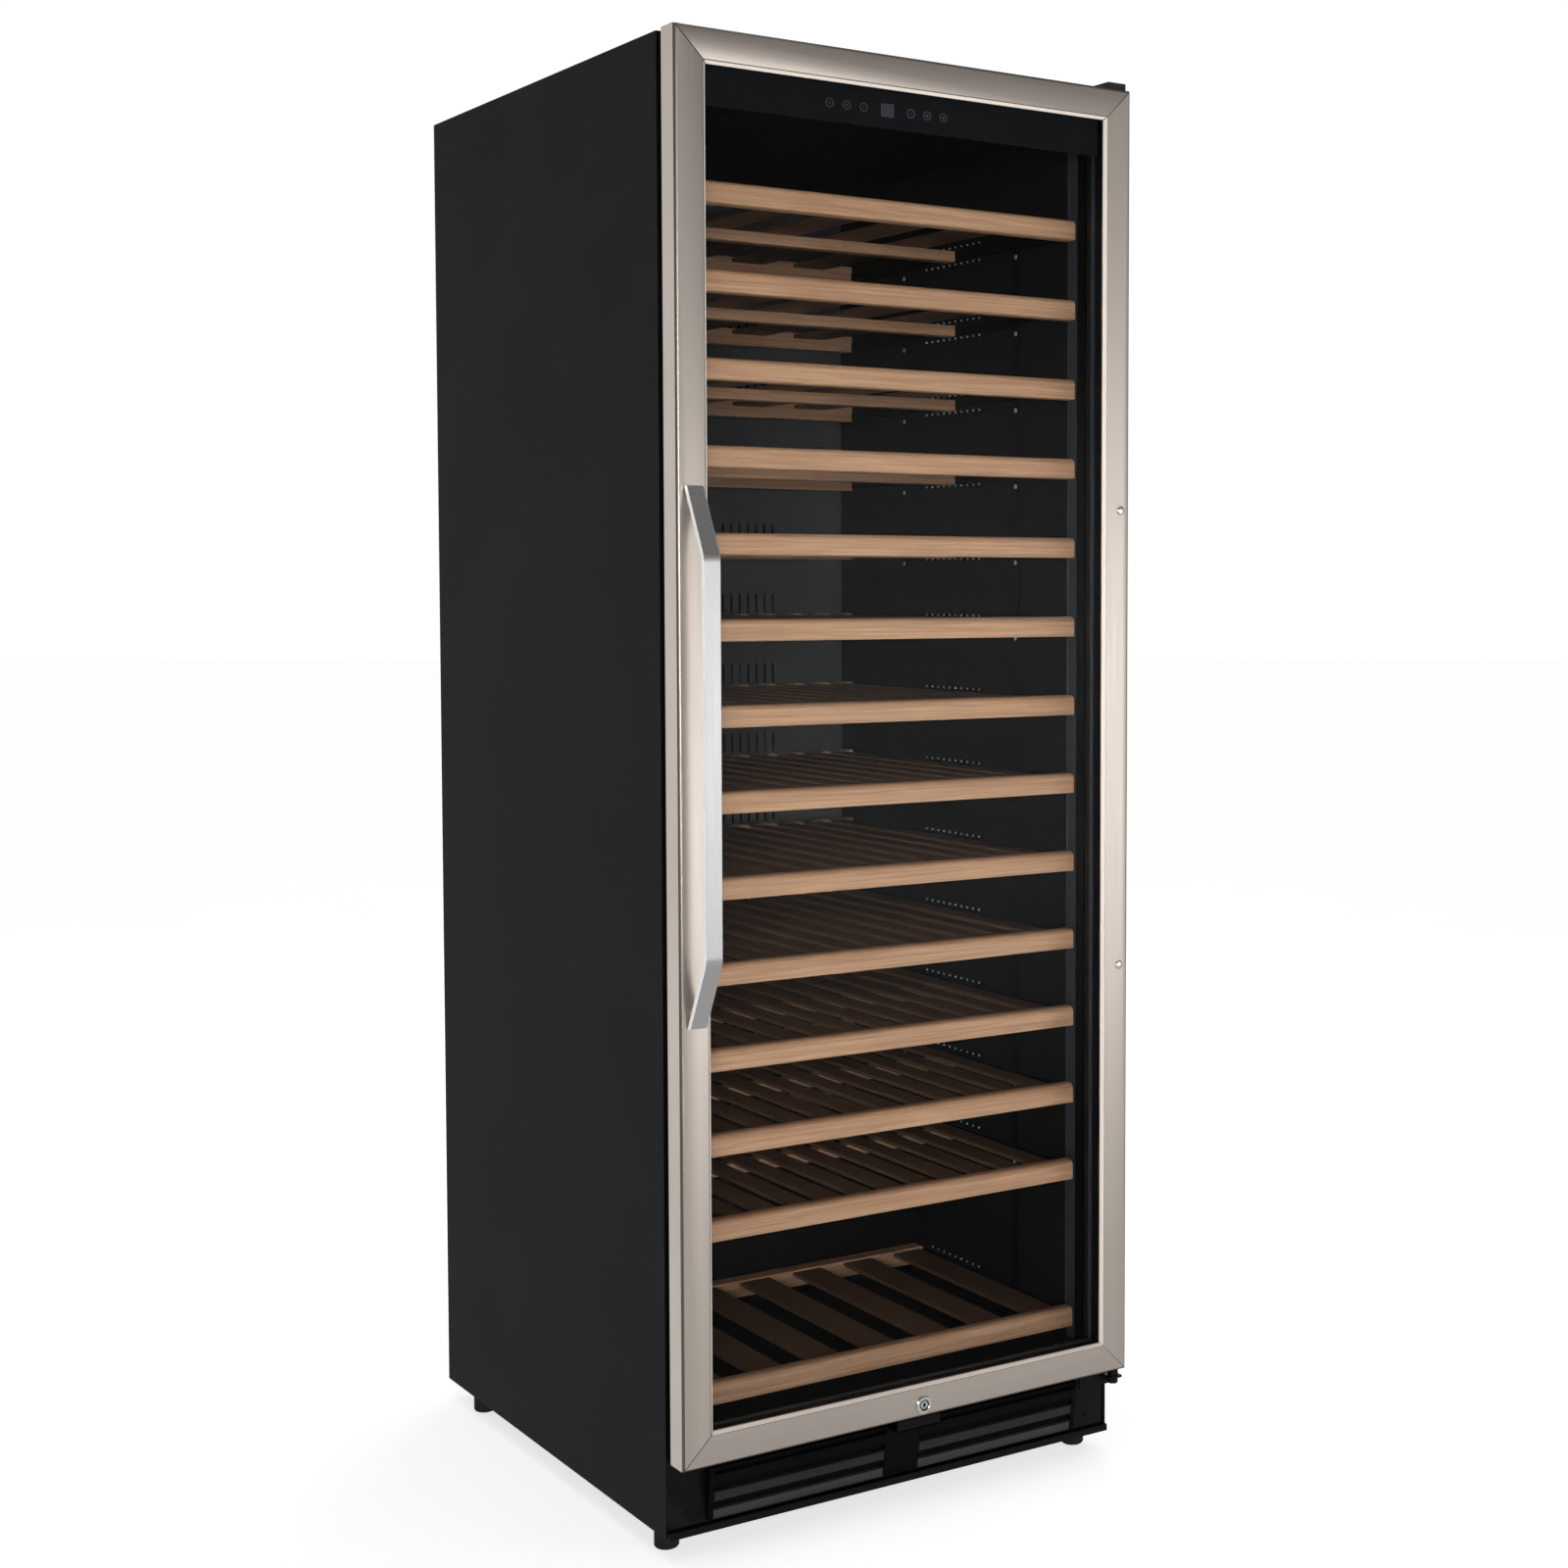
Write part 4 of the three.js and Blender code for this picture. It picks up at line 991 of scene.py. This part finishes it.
class COOLER_OT_lock(bpy.types.Operator):
    """Lock ring, key barrel with its keyway and cam, the two hole plugs and the unused hinge hole's cap"""

    bl_idname = "cooler.lock"
    bl_label = "Lock and plugs"

    def execute(self, context):
        x, _, z = node_middle("lock_ring")
        section = [(6.15, -0.35), (6.15, -1.9), (6.9, -2.45), (9.2, -2.45), (10.2, -1.7), (10.45, -0.9),
                   (10.45, -0.35)]
        ring = hoop(around(section, (x, FRONT_Y, z), 1, 64))
        piece("lock_collar", [(ring, 0)], ("bright_metal",), "door", ("lock_ring",), 30)
        cam_high = node_box("lock_barrel")[1]
        cam = bar((x - 4, FRONT_Y + 17, z - 4), (cam_high[0], cam_high[1], z + 4), 0.5, 0)
        parts = [self.barrel(x, z), (cam, 1)]
        finishes = ("bright_metal", "black_steel")
        piece("key_barrel", parts, finishes, "lock_barrel", ("lock_barrel",), 30)
        dome = [(3, 4), (3, -0.3), (5.4, -0.3), (5.5, -0.5), (5.2, -1), (4.2, -1.5), (2.6, -1.85), (0.8, -2)]
        for name in ("upper", "lower"):
            node = f"{name}_hole_plug"
            plug_x, _, plug_z = node_middle(node)
            plug = turned(dome, (plug_x, FRONT_Y, plug_z), 1, 40)
            piece(f"domed_plug_{name}", [(plug, 0)], ("bright_metal",), "door", (node,), 50)
        low, high = node_box("door_frame_top")
        button = [(4.6, -0.3), (4.6, 1.2), (3.8, 2), (1, 2.3)]
        cap = turned(button, (low[0] + 9.5, FRONT_Y + 14, high[2]), 2, 32)
        piece("hinge_hole_cap", [(cap, 0)], ("black_plastic",), "door")
        return {"FINISHED"}

    @staticmethod
    def barrel(x, z):
        """A barrel with a keyway: rings that change from the slot's outline, min(a/|cos t|, b/|sin t|), to a
            circle by a share, and then run back along the wall. Its front face alone is bright metal; the
            keyway walls, the rim round the front face and the rest take the black finish, painted shade of
            the keyhole and of the groove round the barrel."""
        angle = np.linspace(0, 2 * np.pi, 72, endpoint=False) + 0.01
        slot = np.minimum(0.75 / np.abs(np.cos(angle)), 3.3 / np.abs(np.sin(angle)))
        stack = np.array([(0, 0, 1.5), (0, 0, -1.75), (0.3, 4.6, -1.78), (1, 4.4, -1.78), (1, 4.7, -1.5),
                          (1, 4.7, -0.2), (1, 5.65, -0.2), (1, 5.65, 18)])
        share, radius, y = stack.T[..., None]
        reach = slot * (1 - share) + radius * share
        offset = [reach * np.cos(angle), np.broadcast_to(y, reach.shape), reach * np.sin(angle)]
        points, faces = tube(np.stack(offset, -1) + np.array((x, FRONT_Y, z)))
        quads = np.array(faces[:-2])
        mean_reach = reach.reshape(-1)[quads].mean(axis=1)
        nearest_back = points[quads, 1].max(axis=1) - FRONT_Y
        # Black everywhere but the front face: painted shade in the keyway and on the rim that stands for the
        # groove round the barrel.
        numbers = np.ones(len(faces), int)
        numbers[:-2][(mean_reach > 2) & (mean_reach < 4.75) & (nearest_back < -1.2)] = 0
        return (points, faces), numbers


class COOLER_OT_screws(bpy.types.Operator):
    """Screw heads on the base cheeks, top hinge cover and back"""

    bl_idname = "cooler.screws"
    bl_label = "Screws"

    def execute(self, context):
        back_low, back_high = node_box("back_panel")
        grille_low, grille_high = node_box("rear_grille")
        cover_low, cover_high = node_box("top_hinge_bracket")
        inset, seat = 12, back_high[1] - 1.2
        sheet = [(back_high[0] - inset, z) for z in np.linspace(back_low[2] + inset, back_high[2] - inset, 6)]
        sheet += [(grille_high[0] - inset, z) for z in (grille_low[2] + inset, grille_high[2] - inset)]
        rear_places = [(side * x, seat, z) for x, z in sheet for side in (-1, 1)]
        rear_head = turned([(3.4, 0.2), (3.4, 0.5), (2.6, 1), (0.6, 1.15)], (0, 0, 0), 1, 20)
        cap = turned([(3.2, -0.6), (3.2, -0.3), (2, 0), (0.6, 0)],
                     ((cover_low[0] + cover_high[0]) / 2, cover_low[1] + 84, 1650.3), 2, 20)
        cheek_head = turned([(3, 0.5), (3, -0.8), (2.2, -1.4), (0.6, -1.6)], (0, FRONT_Y + 46, 48), 1, 20)
        cheeks = repeated(cheek_head, [(-270, 0, 0), (270, 0, 0)])
        parts = [(repeated(rear_head, rear_places), 0), (cap, 0), (cheeks, 1)]
        piece("case_screws", parts, ("bright_metal", "black_steel"), "cabinet")
        return {"FINISHED"}


class COOLER_OT_stage(bpy.types.Operator):
    """Pale floor, soft studio lights and the camera"""

    bl_idname = "cooler.stage"
    bl_label = "Stage"

    def execute(self, context):
        settings = context.scene.cooler_stage
        self.floor(context)
        self.room(context, settings.level_light, settings.high_light)
        self.soft_light("key_light", (-1.9, -3.6, 1.15), (0, 0, 0.92), 2.4, 1.4, settings.key_power, 36)
        self.soft_light("front_light", (1.75, -3.0, 0.75), (0.1, 0, 0.85), 2.6, 2.4, settings.front_power)
        self.soft_light("back_light", (2.3, 3.1, 1.5), (0, 0, 0.8), 2.4, 2.4, settings.back_power)
        self.soft_light("top_light", (-0.2, -0.4, 4.2), (0, 0, 0.8), 4, 4, settings.top_power)
        self.camera(context, settings)
        context.scene.view_settings.view_transform = "Standard"
        return {"FINISHED"}

    @staticmethod
    def floor(context):
        """A flat disc of 30 m radius, at z = 0, that gives off a little light of its own."""
        sides, radius = 96, 30
        angle = np.linspace(0, 2 * np.pi, sides, endpoint=False)
        points = np.stack([radius * np.cos(angle), radius * np.sin(angle), np.zeros(sides)], -1)
        mesh = bpy.data.meshes.new("floor")
        mesh.from_pydata(points.tolist(), [], [list(range(sides))])
        pale = Finish("pale_floor", 0.8, specular=0.0)
        pale.set("Base Color", pale.blend(pale.noise(3), (0.86, 0.86, 0.86), (0.88, 0.88, 0.88)))
        pale.surface.inputs["Emission Color"].default_value = (1, 1, 1, 1)
        pale.surface.inputs["Emission Strength"].default_value = 0.7
        mesh.materials.append(pale.material)
        floor = bpy.data.objects.new("floor", mesh)
        floor.visible_glossy = False
        context.scene.collection.objects.link(floor)

    @staticmethod
    def room(context, level, high):
        """Room light that goes from level to high as the view rises, with more overhead, and plain white
        behind the object."""
        world = bpy.data.worlds.new("room")
        world.use_nodes = True
        tree = world.node_tree
        tree.nodes.clear()
        view = add_node(tree, "ShaderNodeTexCoord").outputs["Generated"]
        rise = add_node(tree, "ShaderNodeSeparateXYZ", {"Vector": view}).outputs["Z"]
        lower = {"Value": rise, "From Min": 0.02, "From Max": 0.5, "To Min": level, "To Max": high}
        upper = {"Value": rise, "From Min": 0.8, "From Max": 0.95, "To Max": 0.6}
        steps = [add_node(tree, "ShaderNodeMapRange", limits, interpolation_type="SMOOTHSTEP")
                 for limits in (upper, lower)]
        shares = {index: step.outputs["Result"] for index, step in enumerate(steps)}
        total = add_node(tree, "ShaderNodeMath", shares).outputs["Value"]
        lit = add_node(tree, "ShaderNodeBackground", {"Color": (1, 0.99, 0.98, 1), "Strength": total})
        seen = add_node(tree, "ShaderNodeBackground", {"Color": (1, 1, 1, 1)})
        camera = add_node(tree, "ShaderNodeLightPath").outputs["Is Camera Ray"]
        layers = {"Fac": camera, 1: lit.outputs["Background"], 2: seen.outputs["Background"]}
        mix = add_node(tree, "ShaderNodeMixShader", layers)
        add_node(tree, "ShaderNodeOutputWorld", {"Surface": mix.outputs["Shader"]})
        context.scene.world = world

    @staticmethod
    def soft_light(name, place, target, width, height, power, beam=180):
        """A rectangular light that fades from its middle to its edges; beam is its cone in degrees."""
        light = bpy.data.lights.new(name, "AREA")
        light.shape = "RECTANGLE"
        light.size, light.size_y, light.energy = width, height, power
        light.spread = np.radians(beam)
        light.use_nodes = True
        tree = light.node_tree
        spot = add_node(tree, "ShaderNodeTexCoord").outputs["UV"]
        centred = {"Vector": spot, "Location": (-1, -1, 0), "Scale": (2, 2, 1)}
        centre = add_node(tree, "ShaderNodeMapping", centred).outputs["Vector"]
        fade = add_node(tree, "ShaderNodeTexGradient", {"Vector": centre}, gradient_type="SPHERICAL")
        limits = {"Value": fade.outputs["Fac"], "From Max": 0.75, "To Max": 2.0}
        ease = add_node(tree, "ShaderNodeMapRange", limits, interpolation_type="SMOOTHSTEP")
        tree.links.new(ease.outputs["Result"], tree.nodes["Emission"].inputs["Strength"])
        lamp = bpy.data.objects.new(name, light)
        lamp.location = place
        lamp.rotation_euler = (Vector(target) - Vector(place)).to_track_quat("-Z", "Y").to_euler()
        lamp.visible_camera = False
        bpy.context.scene.collection.objects.link(lamp)

    @staticmethod
    def camera(context, settings):
        """Forward is (sin yaw cos pitch, cos yaw cos pitch, sin pitch); right and up are then rolled."""
        yaw, pitch, roll = settings.yaw, settings.pitch, settings.roll
        forward = Vector((math.sin(yaw) * math.cos(pitch), math.cos(yaw) * math.cos(pitch), math.sin(pitch)))
        right = Vector((math.cos(yaw), -math.sin(yaw), 0))
        up = right.cross(forward)
        across = right * math.cos(roll) + up * math.sin(roll)
        upright = up * math.cos(roll) - right * math.sin(roll)
        data = bpy.data.cameras.new("camera")
        data.sensor_width, data.lens = 36, settings.lens
        data.shift_x, data.shift_y = settings.shift_x, settings.shift_y
        camera = bpy.data.objects.new("camera", data)
        context.scene.collection.objects.link(camera)
        turn = Matrix((across, upright, -forward)).transposed().to_4x4()
        camera.matrix_world = Matrix.Translation(Vector(settings.camera_place)) @ turn
        context.scene.camera = camera


class COOLER_PT_panel(bpy.types.Panel):
    """The cooler's pieces and their settings"""

    bl_idname = "COOLER_PT_panel"
    bl_label = "Wine cooler"
    bl_space_type = "VIEW_3D"
    bl_region_type = "UI"
    bl_category = "Wine cooler"

    def draw(self, context):
        column = self.layout.column()
        for name in STEPS:
            column.operator(f"cooler.{name}")
        for group in GROUPS:
            settings = getattr(context.scene, group)
            for key in settings.bl_rna.properties.keys():
                if key not in ("rna_type", "name"):
                    column.prop(settings, key)


STEPS = ("case", "feet", "kick_plate", "hinges", "interior", "machinery", "slides", "shelves", "door_frame",
         "glazing", "controls", "handle", "lock", "screws", "stage")
GROUPS = {"cooler_case": CoolerCaseSettings, "cooler_door": CoolerDoorSettings,
          "cooler_shelf": CoolerShelfSettings, "cooler_stage": CoolerStageSettings}
CLASSES = (*GROUPS.values(), COOLER_OT_case, COOLER_OT_feet, COOLER_OT_kick_plate, COOLER_OT_hinges,
           COOLER_OT_interior, COOLER_OT_machinery, COOLER_OT_slides, COOLER_OT_shelves, COOLER_OT_door_frame,
           COOLER_OT_glazing, COOLER_OT_controls, COOLER_OT_handle, COOLER_OT_lock, COOLER_OT_screws,
           COOLER_OT_stage, COOLER_PT_panel)


def register():
    for cls in CLASSES:
        bpy.utils.register_class(cls)
    for name, group in GROUPS.items():
        setattr(bpy.types.Scene, name, PointerProperty(type=group))


def unregister():
    for name in GROUPS:
        delattr(bpy.types.Scene, name)
    for cls in reversed(CLASSES):
        bpy.utils.unregister_class(cls)


def main():
    register()
    for name in STEPS:
        getattr(bpy.ops.cooler, name)()


if __name__ == "__main__":
    main()
